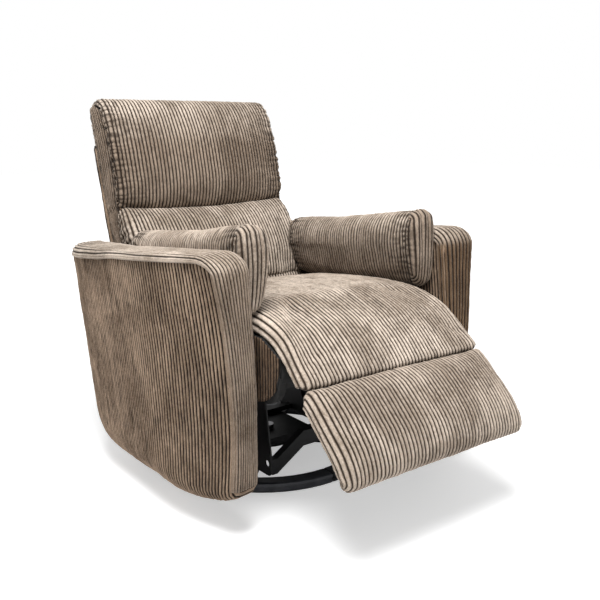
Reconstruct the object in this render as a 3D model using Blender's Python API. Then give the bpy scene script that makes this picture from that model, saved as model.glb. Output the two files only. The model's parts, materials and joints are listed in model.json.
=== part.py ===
"""Swivel glider recliner, part reclined with its leg rest half open.

Metres, +Z up. The sitter faces -Y and +X is the sitter's left. Heights start at the floor. While the
pieces are made, the swivel axis is the Z axis; at the end the whole chair slides along Y, so that the
origin is the middle of its footprint.
"""

import bpy
import bmesh
from math import asin, cos, pi, radians, sin, sqrt, tan
from mathutils import Matrix, Vector

# Clearances that every piece shares
FACE_GAP = 0.0003
RUNNING_GAP = 0.0003
CUT_OVERRUN = 0.004
UNION_DEPTH = 0.0015

# Base ring: two halves of rounded tube, joined at front and rear by plugs
RING_OUTER_RADIUS = 0.314
RING_TUBE_WIDTH = 0.048
RING_TUBE_HEIGHT = 0.028
RING_TUBE_CORNER = 0.009
RING_TUBE_WALL = 0.002
RING_SPLIT = 0.006
RING_PLUG_LENGTH = 0.060
RING_PLUG_CLEARANCE = 0.0006
RING_PLUG_BOLT_RADIUS = 0.0055
RING_PLUG_BOLT_HEIGHT = 0.003

# Cross and swivel bearing
CROSS_ARM_WIDTH = 0.040
CROSS_THICKNESS = 0.008
CROSS_HUB_RADIUS = 0.075
CROSS_BOLT_RADIUS = 0.005
CROSS_BOLT_HEAD_RADIUS = 0.009
CROSS_BOLT_HEAD_HEIGHT = 0.0055
CROSS_TIP_MARGIN = 0.010
BEARING_RADIUS = 0.060
BEARING_RACE_HEIGHT = 0.009
BEARING_CHAMFER = 0.0015
SPINDLE_RADIUS = 0.010
SPINDLE_HEAD_RADIUS = 0.018
SPINDLE_HEAD_HEIGHT = 0.010
SPINDLE_NUT_HEIGHT = 0.012

# Swivelling base of the glide
BASE_PLATE_HALF = 0.110
BASE_PLATE_THICKNESS = 0.005
BASE_PLATE_CORNER = 0.015
GLIDE_BAR_DEPTH = 0.025
GLIDE_BAR_HEIGHT = 0.015
STAND_INNER_X = 0.150
STAND_THICKNESS = 0.006
STAND_TOP_Z = 0.238
STAND_FOOT_HALF = 0.120
STAND_PIN_MARGIN = 0.022
STAND_CORNER = 0.020
STAND_WINDOW_RADIUS = 0.034
STAND_WINDOW_Z = 0.135

# Glide links and their riveted pins
GLIDE_PIVOT_Y = 0.135
GLIDE_TOP_PIVOT_Z = 0.215
GLIDE_LINK_LENGTH = 0.120
GLIDE_LINK_HALF_WIDTH = 0.014
GLIDE_LINK_THICKNESS = 0.005
GLIDE_LINK_SIDE_GAP = 0.0015
GLIDE_PIN_RADIUS = 0.006
GLIDE_RIVET_RADIUS = 0.010
GLIDE_RIVET_HEIGHT = 0.0035
OPEN_PIVOT_GAP = 0.0010

# Steel chassis that hangs on the links
SIDE_PLATE_THICKNESS = 0.004
SIDE_PLATE_GAP = 0.002
SIDE_PLATE_BOTTOM_Z = 0.045
SIDE_PLATE_FRONT_Y = -0.262
SIDE_PLATE_FRONT_SHOULDER_Z = 0.105
SIDE_PLATE_TOP_FRONT_Y = -0.232
SIDE_PLATE_TOP_REAR_Y = 0.205
SIDE_PLATE_BOTTOM_REAR_Y = 0.165
SIDE_PLATE_CORNER = 0.016
SIDE_PLATE_EYE_RADIUS = 0.009
SIDE_PLATE_EYE_Y = -0.244
SIDE_PLATE_EYE_Z = 0.078
SIDE_PLATE_WINDOW_RADIUS = 0.040
SIDE_PLATE_WINDOW_Y = 0.062
SIDE_PLATE_WINDOW_Z = 0.200
CROSS_TUBE_SIZE = 0.025
CROSS_TUBE_WALL = 0.002
CROSS_TUBE_CORNER = 0.003
CROSS_TUBE_BOTTOM_Z = 0.290
CROSS_TUBE_FRONT_Y = -0.2025
CROSS_TUBE_REAR_Y = 0.1775

# Pressed channel across the front of the chassis, an arch over the bearing
BRACKET_FRONT_Y = -0.262
BRACKET_DEPTH = 0.022
BRACKET_WALL = 0.003
BRACKET_FOOT_BOTTOM_Z = 0.050
BRACKET_HEIGHT = 0.042
BRACKET_RISE = 0.056
BRACKET_TOP_HALF = 0.062
BRACKET_FOOT_HALF = 0.148

# Wooden seat frame
SEAT_RAIL_INNER_X = 0.263
SEAT_RAIL_THICKNESS = 0.018
SEAT_RAIL_HEIGHT = 0.074
SEAT_RAIL_FRONT_Y = -0.468
SEAT_RAIL_REAR_Y = 0.262
SEAT_RAIL_NOSE_RADIUS = 0.085
SEAT_RAIL_TAIL_RADIUS = 0.025
SEAT_CROSS_RAIL_DEPTH = 0.018
SEAT_FRONT_RAIL_Y = -0.274
SEAT_REAR_RAIL_Y = 0.214

# Zigzag seat springs
SPRING_WIRE_RADIUS = 0.002
SPRING_HALF_WIDTH = 0.022
SPRING_SPACING = 0.150
SPRING_COUNT = 3
SPRING_WAVES = 9
SPRING_POINTS_PER_WAVE = 6
SPRING_TAIL = 0.012

# Leg rest, in its own frame: along the slope and square to it, from its hinge
LEG_HINGE_Y = -0.390
LEG_HINGE_Z = 0.366
LEG_SLOPE_DEG = 43.0
LEG_SURFACE = 0.133
TORQUE_TUBE_RADIUS = 0.009
LEG_ARM_THICKNESS = 0.005
LEG_ARM_EYE_RADIUS = 0.016
LEG_ARM_NECK = 0.085
LEG_ARM_NECK_TOP = 0.017
LEG_ARM_SHOULDER = 0.122
LEG_ARM_TOP = 0.0385
LEG_ARM_TIP = 0.290
LEG_ARM_TIP_BOTTOM = 0.018
LEG_ARM_NECK_BOTTOM = -0.013
BOARD_START = 0.122
BOARD_END = 0.305
BOARD_HALF = 0.186
LEG_ARM_INSET = 0.010
BOARD_THICKNESS = 0.012
BOARD_CORNER = 0.003

# Drive: crank on the torque tube, pin in a slotted yoke, rod and actuator
CRANK_RADIUS = 0.070
CRANK_LEAD_DEG = 4.5
CRANK_THICKNESS = 0.008
CRANK_EYE_RADIUS = 0.018
CRANK_END_RADIUS = 0.010
CRANK_PIN_RADIUS = 0.005
CRANK_PIN_HALF_LENGTH = 0.0145
YOKE_SIDE_GAP = 0.0015
YOKE_WALL = 0.004
YOKE_BOTTOM_Z = 0.252
YOKE_TOP_Z = 0.3285
YOKE_SLOT_Z = 0.3052
YOKE_SLOT_HALF_HEIGHT = 0.0160
YOKE_SLOT_HALF_WIDTH = 0.0070
YOKE_SLOT_OFFSET_Y = 0.0004
YOKE_NOSE = 0.015
YOKE_THROAT = 0.033
YOKE_TAIL = 0.044
ROD_RADIUS = 0.008
ROD_Z = 0.268
ROD_REAR_Y = -0.100
ACTUATOR_RADIUS = 0.014
ACTUATOR_FRONT_Y = -0.262
ACTUATOR_REAR_Y = 0.050
HANGER_HALF_WIDTH = 0.012
HANGER_HALF_DEPTH = 0.010
HANGER_SINK = 0.0035
GEARBOX_HALF_WIDTH = 0.035
GEARBOX_LENGTH = 0.062
GEARBOX_BOTTOM_Z = 0.238
GEARBOX_TOP_Z = 0.300
GEARBOX_CORNER = 0.008
GEARBOX_LUG_HALF_WIDTH = 0.014
GEARBOX_LUG_BOTTOM_Z = 0.284
INLET_RADIUS = 0.008
INLET_LENGTH = 0.010
INLET_BORE_RADIUS = 0.0028
INLET_BORE_DEPTH = 0.009
INLET_Z = 0.256
MOTOR_RADIUS = 0.026
MOTOR_LENGTH = 0.085
MOTOR_Z = 0.266
MOTOR_CHAMFER = 0.004

# Seat cushion: its profile from the side, and its crown
SEAT_CUSHION_HALF = 0.279
SEAT_CUSHION_EDGE = 0.016
SEAT_CUSHION_CROWN = 0.012
SEAT_CUSHION_DRAW = 0.004
SEAT_REAR_Y = 0.176
SEAT_REAR_TOP_Z = 0.454
SEAT_MIDDLE_Y = -0.080
SEAT_MIDDLE_Z = 0.488
SEAT_FRONT_TOP_Y = -0.330
SEAT_FRONT_TOP_Z = 0.505
SEAT_STEP_Y = -0.386
SEAT_STEP_TOP_Z = 0.496
NOSE_TOP_Z = 0.4765
NOSE_SHOULDER_Y = -0.440
NOSE_SHOULDER_Z = 0.458
NOSE_FRONT_Y = -0.467
NOSE_FRONT_Z = 0.425
NOSE_ROUND = 0.020

# Chaise pad and foot pad, in the leg rest's frame
PAD_HALF = 0.279
PAD_EDGE = 0.018
PAD_CROWN = 0.006
PAD_DRAW = 0.004
CHAISE_ROOT = 0.005
CHAISE_ROOT_RADIUS = 0.1142
CHAISE_ROOT_STEPS = 4
CHAISE_ROOT_SWEEP_DEG = 31.0
CHAISE_LENGTH = 0.108
CHAISE_TIP_BOTTOM = 0.088
CHAISE_EDGE_ROUND = 0.010
FOOT_END = 0.334
FOOT_TIP_TOP = 0.120
FOOT_TIP_BOTTOM = 0.076
FOOT_HEM_RISE = 0.042
FOOT_CROWN_SURFACE = 0.134
FOOT_SEAM_ROUND = 0.020
FOOT_TIP_ROUND = 0.022

# Arms: plan of the outer face, its lean with height, and the section
ARM_INNER_X = 0.3126
ARM_FRONT_X = 0.3745
ARM_WIDEST_X = 0.441
ARM_FRONT_Y = -0.433
ARM_WIDEST_FROM_Y = -0.060
ARM_CORNER_FROM_Y = 0.180
ARM_REAR_Y = 0.436
ARM_REAR_X = 0.325
ARM_REAR_INNER_Y = 0.389
ARM_CORNER_POWER = 2.8
ARM_FRONT_STEP = 0.015
ARM_STEP_FADE_Y = 0.000
ARM_BOW_Z = 0.270
ARM_BOW_SPAN = 0.372
ARM_BOW = 0.0255
ARM_FLARE = 0.0295
ARM_REAR_LEAN = 0.275
ARM_TOP_Z = 0.622
ARM_TOP_SLOPE = 0.095
ARM_TOP_CROWN = 0.010
ARM_BOTTOM_Z = 0.036
ARM_BOTTOM_ROUND = 0.100
ARM_FRONT_BOTTOM_ROUND = 0.035
ARM_BOTTOM_ROUND_FULL_Y = -0.067
ARM_TOP_OUTER_ROUND = 0.016
ARM_TOP_INNER_ROUND = 0.024
ARM_INNER_BOTTOM_ROUND = 0.008
ARM_FRONT_TOP_LENGTH = 0.070
ARM_FRONT_TOP_DROP = 0.042
ARM_FRONT_BOTTOM_LENGTH = 0.640
ARM_FRONT_BOTTOM_RISE = 0.094
ARM_REAR_BOTTOM_LENGTH = 0.150
ARM_REAR_BOTTOM_RISE = 0.110
ARM_SEAM_ROUND = 0.012
ARM_BOARD_THICKNESS = 0.012
ARM_BOARD_FRONT_Y = -0.352
ARM_BOARD_REAR_Y = 0.315
ARM_BOARD_BOTTOM_Z = 0.100
ARM_BOARD_TOP_Z = 0.484
ARM_BOARD_CORNER = 0.040

# Arm pillows: section across and its change along the arm
PILLOW_FRONT_Y = -0.345
PILLOW_REAR_Y = 0.205
PILLOW_OUTER_X = 0.3120
PILLOW_INNER_X = 0.226
PILLOW_FOOT_X = 0.283
PILLOW_BOTTOM_REAR_Z = 0.488
PILLOW_BOTTOM_FRONT_Z = 0.520
PILLOW_TOP_REAR_Z = 0.645
PILLOW_TOP_FRONT_Z = 0.717
PILLOW_END_ROUND = 0.034
PILLOW_ROUND = 0.040

# Control on the outer face of the arm at the sitter's left
CONTROL_Y = -0.250
CONTROL_Z = 0.520
CONTROL_HALF_LENGTH = 0.052
CONTROL_HALF_WIDTH = 0.019
CONTROL_DEPTH = 0.012
CONTROL_PROUD = 0.003
CONTROL_CORNER = 0.006
BUTTON_HALF_LENGTH = 0.0150
BUTTON_HALF_WIDTH = 0.0110
BUTTON_PITCH = 0.040
BUTTON_HEIGHT = 0.0070
BUTTON_PROUD = 0.0018
BUTTON_TRAVEL = 0.0015
BUTTON_CLEARANCE = 0.0004
BUTTON_CORNER = 0.003

# Back, in its own frame: along its height and square to it, from its hinge
BACK_HINGE_Y = 0.243
BACK_HINGE_Z = 0.362
BACK_LEAN_DEG = 17.5
BACK_PIN_RADIUS = 0.007
BACK_PIN_HEAD_RADIUS = 0.011
BACK_PIN_HEAD_HEIGHT = 0.003
BACK_BRACKET_THICKNESS = 0.004
BACK_BRACKET_SIDE_GAP = 0.0025
BACK_BRACKET_EYE_RADIUS = 0.014
BACK_BRACKET_LENGTH = 0.175
BACK_POST_THICKNESS = 0.020
BACK_POST_START = 0.040
BACK_POST_END = 0.545
BACK_POST_FRONT = -0.014
BACK_POST_DEPTH = 0.040
BACK_RAIL_HEIGHT = 0.040
BACK_RAIL_DEPTH = 0.020
BACK_LOWER_RAIL_START = 0.100
BACK_HALF = 0.2870
BACK_WING_INNER_X = 0.2612
BACK_WING_START = 0.066
BACK_WING_END = 0.352
BACK_WING_FRONT = -0.0120
BACK_WING_ROUND = 0.006
BACK_PANEL_START = 0.055
BACK_PANEL_END = 0.568
BACK_PANEL_FRONT = -0.0665
BACK_PANEL_DEPTH = 0.022
BACK_PANEL_ROUND = 0.010
BACK_PANEL_CROWN = 0.004

# Lumbar cushion and head pillow, in the back's frame
BACK_PAD_HALF = 0.2890
LUMBAR_REAR = -0.0115
LUMBAR_BOTTOM = 0.050
LUMBAR_HIP = 0.080
LUMBAR_HIP_DEPTH = 0.080
LUMBAR_MIDDLE = 0.165
LUMBAR_MIDDLE_DEPTH = 0.084
LUMBAR_SHOULDER = 0.300
LUMBAR_SHOULDER_DEPTH = 0.050
LUMBAR_TOP = 0.359
LUMBAR_TOP_DEPTH = 0.012
BACK_PAD_EDGE = 0.022
BACK_PAD_CROWN = 0.010
BACK_PAD_DRAW = 0.004
HEAD_REAR = -0.0655
HEAD_BOTTOM = 0.3615
HEAD_BOTTOM_DEPTH = 0.008
HEAD_LOWER = 0.400
HEAD_LOWER_DEPTH = 0.032
HEAD_UPPER = 0.640
HEAD_UPPER_DEPTH = 0.034
HEAD_TOP = 0.689
HEAD_TOP_DEPTH = -0.014
HEAD_CREST_REAR = 0.660
HEAD_POCKET_TOP = 0.548
HEAD_ROUND = 0.034

# Fineness of round shapes
ROUND_SIDES = 16
SMALL_SIDES = 12
RING_STEPS = 28
FILLET_STEPS = 3
FILLET_EDGE_SHARE = 0.98
INSET_EDGE_SHARE = 0.85
INSET_ROUND_SHARE = 0.15
TIGHT_FILLET_STEPS = 2
PAD_ROWS_SHARES = (-1.0, -0.86, -0.6, -0.3, 0.0, 0.3, 0.6, 0.86, 1.0)
EDGE_STEPS = 3
WELD_DISTANCE = 0.000001
PILLOW_INSET_SHARE = 0.9

# Colours as red, green, blue, then roughness and metallic
CORDUROY = (0.30, 0.235, 0.185, 0.9, 0.0)
CORDUROY_DARK = (0.24, 0.185, 0.145, 0.9, 0.0)
BLACK_STEEL = (0.02, 0.02, 0.022, 0.42, 0.6)
GREY_STEEL = (0.10, 0.105, 0.115, 0.38, 0.7)
BRIGHT_STEEL = (0.55, 0.55, 0.56, 0.3, 1.0)
PINE = (0.52, 0.37, 0.22, 0.7, 0.0)
PLYWOOD = (0.46, 0.33, 0.20, 0.7, 0.0)
BLACK_PLASTIC = (0.018, 0.018, 0.02, 0.5, 0.0)
GREY_PLASTIC = (0.20, 0.20, 0.21, 0.45, 0.0)

for old in list(bpy.data.objects):
    bpy.data.objects.remove(old, do_unlink=True)


# Shared ways of making a piece

chair = bpy.data.objects.new("chair_origin", None)
bpy.context.scene.collection.objects.link(chair)


def axis_empty(name, place):
    """An empty on a joint's axis, which carries the pieces that turn or slide there."""
    empty = bpy.data.objects.new(name, None)
    bpy.context.scene.collection.objects.link(empty)
    empty.location = place
    empty.parent = chair
    return empty


def add(name, bm, finish, carrier=None, smooth=True):
    """Put a finished bmesh into the scene as the named piece, with a material of its own."""
    mesh = bpy.data.meshes.new(name)
    bm.to_mesh(mesh)
    bm.free()
    piece = bpy.data.objects.new(name, mesh)
    bpy.context.scene.collection.objects.link(piece)
    if smooth:
        mesh.shade_smooth()
        mesh.set_sharp_from_angle(angle=radians(35))
    material = bpy.data.materials.new(name + "_finish")
    material.use_nodes = True
    shader = material.node_tree.nodes["Principled BSDF"]
    shader.inputs["Base Color"].default_value = (finish[0], finish[1], finish[2], 1.0)
    shader.inputs["Roughness"].default_value = finish[3]
    shader.inputs["Metallic"].default_value = finish[4]
    material.diffuse_color = (finish[0], finish[1], finish[2], 1.0)
    mesh.materials.append(material)
    piece.parent = carrier or chair
    if carrier:
        piece.matrix_parent_inverse = Matrix.Translation(-carrier.location)
    return piece


def change(piece, other, operation):
    """Cut the piece with another shape or join that shape to it, and hide the shape."""
    other.hide_render = True
    other.display_type = 'WIRE'
    modifier = piece.modifiers.new(operation.lower() + "_" + other.name, 'BOOLEAN')
    modifier.operation = operation
    modifier.solver = 'EXACT'
    modifier.object = other


def skin(ring_point, around, along, closed=False, open_ends=False, fan=False):
    """A bmesh stretched over rings: ring_point(i, j) gives point i of ring j.

    Its two ends are left open, closed by one face each, or closed by a fan from their middles.
    """
    bm = bmesh.new()
    bmesh.ops.create_grid(bm, x_segments=around, y_segments=along, size=1.0)
    for vert in bm.verts:
        i = round((vert.co.x + 1) / 2 * around) % around
        j = round((vert.co.y + 1) / 2 * along)
        vert.co = ring_point(i, j % along if closed else j)
    bmesh.ops.remove_doubles(bm, verts=bm.verts, dist=WELD_DISTANCE)
    caps = []
    if not closed:
        rims = [edge for edge in bm.edges if edge.is_boundary]
        caps = bmesh.ops.holes_fill(bm, edges=rims, sides=0)["faces"]
    bmesh.ops.recalc_face_normals(bm, faces=bm.faces)
    if open_ends:
        bmesh.ops.delete(bm, geom=caps, context='FACES_ONLY')
    elif fan:
        bmesh.ops.poke(bm, faces=caps)
    return bm


def prism(outline, place, low, high):
    """A flat outline of (a, b) points carried from low to high along the plate's thickness."""
    bm = bmesh.new()
    face = bm.faces.new([bm.verts.new(place(low, a, b)) for a, b in outline])
    moved = bmesh.ops.extrude_face_region(bm, geom=[face])["geom"]
    shift = place(high, *outline[0]) - place(low, *outline[0])
    bmesh.ops.translate(bm, vec=shift, verts=[g for g in moved if isinstance(g, bmesh.types.BMVert)])
    bmesh.ops.recalc_face_normals(bm, faces=bm.faces)
    return bm


def turned(profile, place, sides=ROUND_SIDES):
    """A closed profile of (radius, height) points turned about its axis."""
    def point(i, j):
        radius, height = profile[i]
        angle = 2 * pi * j / sides
        return place(height, radius * cos(angle), radius * sin(angle))
    return skin(point, len(profile), sides, closed=True)


def bar(radius, low, high):
    """The profile of a plain round bar."""
    return [(0.0, low), (radius, low), (radius, high), (0.0, high)]


def collar(inner, outer, low, high):
    """The profile of a plain ring or sleeve."""
    return [(inner, low), (outer, low), (outer, high), (inner, high)]


def drawn_in(corners, depth):
    """The same corners, moved in square to their edges, as far as the shortest edge allows."""
    points = [Vector(corner[:2]) for corner in corners]
    count = len(points)
    area = sum(points[k - 1].cross(points[k]) for k in range(count))
    turn = 1.0 if area > 0 else -1.0
    edges = [(points[(k + 1) % count] - points[k]).normalized() for k in range(count)]
    inward = [Vector((-turn * edge.y, turn * edge.x)) for edge in edges]
    moves = [(inward[k - 1] + inward[k]) / (1 + inward[k - 1].dot(inward[k])) for k in range(count)]
    for k in range(count):
        other = (k + 1) % count
        closing = (moves[k] - moves[other]).dot(edges[k])
        if closing > 0:
            depth = min(depth, INSET_EDGE_SHARE * (points[other] - points[k]).length / closing)
    drawn = [point + move * depth for point, move in zip(points, moves)]
    return [(point.x, point.y, max(radius - depth, radius * INSET_ROUND_SHARE))
            for point, (a, b, radius) in zip(drawn, corners)]


def rounded(corners, steps=FILLET_STEPS, depth=0.0):
    """An outline whose corners (a, b, radius) are rounded off, first drawn in by a depth.

    Two roundings share an edge that is too short for them.
    """
    corners = drawn_in(corners, depth)
    outline = []
    for k, (a, b, radius) in enumerate(corners):
        corner = Vector((a, b))
        if radius <= 0:
            outline.append((a, b))
            continue
        ends = (corners[k - 1], corners[(k + 1) % len(corners)])
        before, after = [Vector(end[:2]) - corner for end in ends]
        reach = radius / tan(before.angle(after) / 2)
        for edge, end in zip((before, after), ends):
            reach = min(reach, edge.length * FILLET_EDGE_SHARE * radius / (radius + end[2]))
        start = corner + before.normalized() * reach
        end = corner + after.normalized() * reach
        for step in range(steps + 1):
            t = step / steps
            outline.append(tuple(start.lerp(corner, t).lerp(corner.lerp(end, t), t)))
    return outline


def arc(a, b, radius, start_deg, end_deg, steps):
    """Points of an arc, both ends among them."""
    angles = [radians(start_deg + (end_deg - start_deg) * k / steps) for k in range(steps + 1)]
    return [(a + radius * cos(angle), b + radius * sin(angle)) for angle in angles]


def rectangle(a_low, a_high, b_low, b_high, radius=0.0, steps=TIGHT_FILLET_STEPS):
    """A rectangle with rounded corners."""
    return rounded([(a_low, b_low, radius), (a_high, b_low, radius),
                    (a_high, b_high, radius), (a_low, b_high, radius)], steps)


def along_x(x, y, z):
    """A plate that lies across X, with its outline in Y and Z."""
    return Vector((x, y, z))


def along_y(y, x, z):
    """A piece that runs along Y, with its outline in X and Z."""
    return Vector((x, y, z))


def along_z(z, x, y):
    """A piece that stands along Z, with its outline in X and Y."""
    return Vector((x, y, z))


def about_x(y, z):
    """A round piece on an axis along X, through the given point."""
    return lambda x, a, b: Vector((x, y + a, z + b))


def about_y(x, z):
    """A round piece on an axis along Y, through the given point."""
    return lambda y, a, b: Vector((x + a, y, z + b))


def on_slope(x, u, n):
    """A place in the leg rest's frame: u down the slope from the hinge, n square to it."""
    slope = radians(LEG_SLOPE_DEG)
    return Vector((x, LEG_HINGE_Y - u * cos(slope) - n * sin(slope),
                   LEG_HINGE_Z - u * sin(slope) + n * cos(slope)))


def on_back(x, s, n):
    """A place in the back's frame: s up the back from the hinge, n forward of it."""
    lean = radians(BACK_LEAN_DEG)
    return Vector((x, BACK_HINGE_Y + s * sin(lean) - n * cos(lean),
                   BACK_HINGE_Z + s * cos(lean) + n * sin(lean)))


def mirrored(place, side):
    """The same placing on the sitter's left (side 1) or right (side -1)."""
    return lambda x, a, b: Vector((side * place(x, a, b).x, place(x, a, b).y, place(x, a, b).z))


def cutter(name, bm):
    """A shape that only serves to cut or to join."""
    return add(name, bm, BLACK_STEEL, smooth=False)


def padded(corners_at, swells, place, half, edge, crown, draw, rows=PAD_ROWS_SHARES):
    """A soft pad as rings across X: crowned in the middle, rounded and drawn in at its two ends.

    corners_at(x) gives the profile's corners at x, and swells says how much of the crown each of
    its points takes.
    """
    stations = [(share * (half - edge), 0.0) for share in rows]
    for step in range(1, EDGE_STEPS + 1):
        angle = pi / 2 * step / EDGE_STEPS
        out, depth = edge * sin(angle), edge * (1 - cos(angle))
        stations.insert(0, (-(half - edge) - out, depth))
        stations.append((half - edge + out, depth))
    outlines = [rounded(corners_at(x), FILLET_STEPS, depth) for x, depth in stations]
    reach = [a for a, b in rounded(corners_at(0.0))]
    low, high = min(reach), max(reach)

    def point(i, j):
        x, depth = stations[j]
        a, b = outlines[j][i]
        share = (a - low) / (high - low)
        hollow = 1.0 if j in (0, len(stations) - 1) else 4 * share * (1 - share)
        side = 1 if x > 0 else -1
        return place(x - side * draw * (depth > 0) * hollow, a, b + crown * swells[i] * (1 - (x / half) ** 2))
    return skin(point, len(swells), len(stations) - 1)


# Base ring: two bent tubes, open at their ends

RING_RADIUS = RING_OUTER_RADIUS - RING_TUBE_WIDTH / 2


def on_ring(angle, a, b):
    """A place on the ring: a outwards from the tube's middle, b up from the floor."""
    return Vector(((RING_RADIUS + a) * cos(angle), (RING_RADIUS + a) * sin(angle), b))


tube_section = rectangle(-RING_TUBE_WIDTH / 2, RING_TUBE_WIDTH / 2, 0.0, RING_TUBE_HEIGHT, RING_TUBE_CORNER)
half_gap = RING_SPLIT / 2 / RING_RADIUS
ring_halves = {}
for name, first in (("ring_half_left", -pi / 2), ("ring_half_right", pi / 2)):
    bm = skin(lambda i, j: on_ring(first + half_gap + (pi - 2 * half_gap) * j / RING_STEPS, *tube_section[i]),
              len(tube_section), RING_STEPS, open_ends=True)
    ring_halves[name] = add(name, bm, GREY_STEEL)
    wall = ring_halves[name].modifiers.new("wall", 'SOLIDIFY')
    wall.thickness = RING_TUBE_WALL
    wall.offset = -1.0
    wall.use_even_offset = True

# Plugs inside the ring's two joints, each with a bolt head in the gap between the halves
plug_inset = RING_TUBE_WALL + RING_PLUG_CLEARANCE
plug_section = rectangle(-RING_TUBE_WIDTH / 2 + plug_inset, RING_TUBE_WIDTH / 2 - plug_inset, plug_inset,
                         RING_TUBE_HEIGHT - plug_inset, RING_TUBE_CORNER - plug_inset)
plug_angle = RING_PLUG_LENGTH / 2 / RING_RADIUS
PLUG_STEPS = 4
for name, middle in (("ring_joint_front", -pi / 2), ("ring_joint_rear", pi / 2)):
    bm = skin(lambda i, j: on_ring(middle - plug_angle + 2 * plug_angle * j / PLUG_STEPS, *plug_section[i]),
              len(plug_section), PLUG_STEPS)
    plug = add(name, bm, BLACK_STEEL)
    out = -1 if middle < 0 else 1
    plug_face = RING_RADIUS + RING_TUBE_WIDTH / 2 - plug_inset
    head_end = RING_OUTER_RADIUS + RING_PLUG_BOLT_HEIGHT
    neck_radius = RING_SPLIT / 2 - FACE_GAP
    bolt = turned([(0.0, plug_face - UNION_DEPTH), (neck_radius, plug_face - UNION_DEPTH),
                   (neck_radius, RING_OUTER_RADIUS + FACE_GAP),
                   (RING_PLUG_BOLT_RADIUS, RING_OUTER_RADIUS + FACE_GAP),
                   (RING_PLUG_BOLT_RADIUS, head_end), (0.0, head_end)],
                  lambda y, a, b: Vector((a, out * y, RING_TUBE_HEIGHT / 2 + b)), SMALL_SIDES)
    change(plug, cutter(name + "_bolt", bolt), 'UNION')

# Cross on top of the ring, with a round hub and a bolt through each tip
CROSS_BOTTOM_Z = RING_TUBE_HEIGHT + FACE_GAP
CROSS_TOP_Z = CROSS_BOTTOM_Z + CROSS_THICKNESS
cross_reach = RING_OUTER_RADIUS - CROSS_TIP_MARGIN
HUB_STEPS = 5
cross_outline = []
for quarter in range(4):
    direction = pi / 4 + quarter * pi / 2
    along, across = Vector((cos(direction), sin(direction))), Vector((-sin(direction), cos(direction)))
    for side in (-1, 1):
        cross_outline.append(tuple(along * cross_reach + across * side * CROSS_ARM_WIDTH / 2))
    clear = asin(CROSS_ARM_WIDTH / 2 / CROSS_HUB_RADIUS)
    for step in range(HUB_STEPS + 1):
        angle = direction + clear + (pi / 2 - 2 * clear) * step / HUB_STEPS
        cross_outline.append((CROSS_HUB_RADIUS * cos(angle), CROSS_HUB_RADIUS * sin(angle)))
cross = add("base_cross", prism(cross_outline, along_z, CROSS_BOTTOM_Z, CROSS_TOP_Z), BLACK_STEEL)
spindle_hole = turned(bar(SPINDLE_RADIUS + RUNNING_GAP, -CUT_OVERRUN, GLIDE_TOP_PIVOT_Z), along_z)
spindle_cutter = cutter("spindle_hole", spindle_hole)
change(cross, spindle_cutter, 'DIFFERENCE')
cross_middle_z = (CROSS_BOTTOM_Z + CROSS_TOP_Z) / 2
shank_end_z = RING_TUBE_HEIGHT - RING_TUBE_WALL - CROSS_BOLT_HEAD_HEIGHT
for quarter in range(4):
    direction = pi / 4 + quarter * pi / 2
    x, y = RING_RADIUS * cos(direction), RING_RADIUS * sin(direction)
    at_bolt = lambda z, a, b: Vector((x + a, y + b, z))
    bolt = turned([(0.0, shank_end_z), (CROSS_BOLT_RADIUS, shank_end_z), (CROSS_BOLT_RADIUS, cross_middle_z),
                   (CROSS_BOLT_HEAD_RADIUS, cross_middle_z),
                   (CROSS_BOLT_HEAD_RADIUS, CROSS_TOP_Z + CROSS_BOLT_HEAD_HEIGHT),
                   (0.0, CROSS_TOP_Z + CROSS_BOLT_HEAD_HEIGHT)], at_bolt, 6)
    change(cross, cutter("cross_bolt_%d" % (quarter + 1), bolt), 'UNION')
    hole = turned(bar(CROSS_BOLT_RADIUS + RUNNING_GAP, RING_TUBE_HEIGHT / 2, CROSS_TOP_Z), at_bolt, 6)
    half = ring_halves["ring_half_left" if x > 0 else "ring_half_right"]
    change(half, cutter("ring_bolt_hole_%d" % (quarter + 1), hole), 'DIFFERENCE')

# Swivel bearing: two races, and the spindle with its head and nut
swivel = axis_empty("swivel_axis", (0.0, 0.0, CROSS_TOP_Z))


def race(low):
    """The profile of one bearing race."""
    bore = SPINDLE_RADIUS + RUNNING_GAP
    high = low + BEARING_RACE_HEIGHT
    return [(bore, low), (BEARING_RADIUS - BEARING_CHAMFER, low), (BEARING_RADIUS, low + BEARING_CHAMFER),
            (BEARING_RADIUS, high - BEARING_CHAMFER), (BEARING_RADIUS - BEARING_CHAMFER, high), (bore, high)]


lower_race_z = CROSS_TOP_Z + FACE_GAP
upper_race_z = lower_race_z + BEARING_RACE_HEIGHT + RUNNING_GAP
add("bearing_race_lower", turned(race(lower_race_z), along_z), BRIGHT_STEEL)
add("bearing_race_upper", turned(race(upper_race_z), along_z), BRIGHT_STEEL, swivel)
PLATE_Z = upper_race_z + BEARING_RACE_HEIGHT + FACE_GAP
PLATE_TOP_Z = PLATE_Z + BASE_PLATE_THICKNESS
head_z = CROSS_BOTTOM_Z - FACE_GAP - SPINDLE_HEAD_HEIGHT
nut_z = PLATE_TOP_Z + RUNNING_GAP
add("swivel_spindle", turned([
    (0.0, head_z), (SPINDLE_HEAD_RADIUS, head_z), (SPINDLE_HEAD_RADIUS, head_z + SPINDLE_HEAD_HEIGHT),
    (SPINDLE_RADIUS, head_z + SPINDLE_HEAD_HEIGHT), (SPINDLE_RADIUS, nut_z), (SPINDLE_HEAD_RADIUS, nut_z),
    (SPINDLE_HEAD_RADIUS, nut_z + SPINDLE_NUT_HEIGHT), (0.0, nut_z + SPINDLE_NUT_HEIGHT)], along_z),
    BRIGHT_STEEL)

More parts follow.
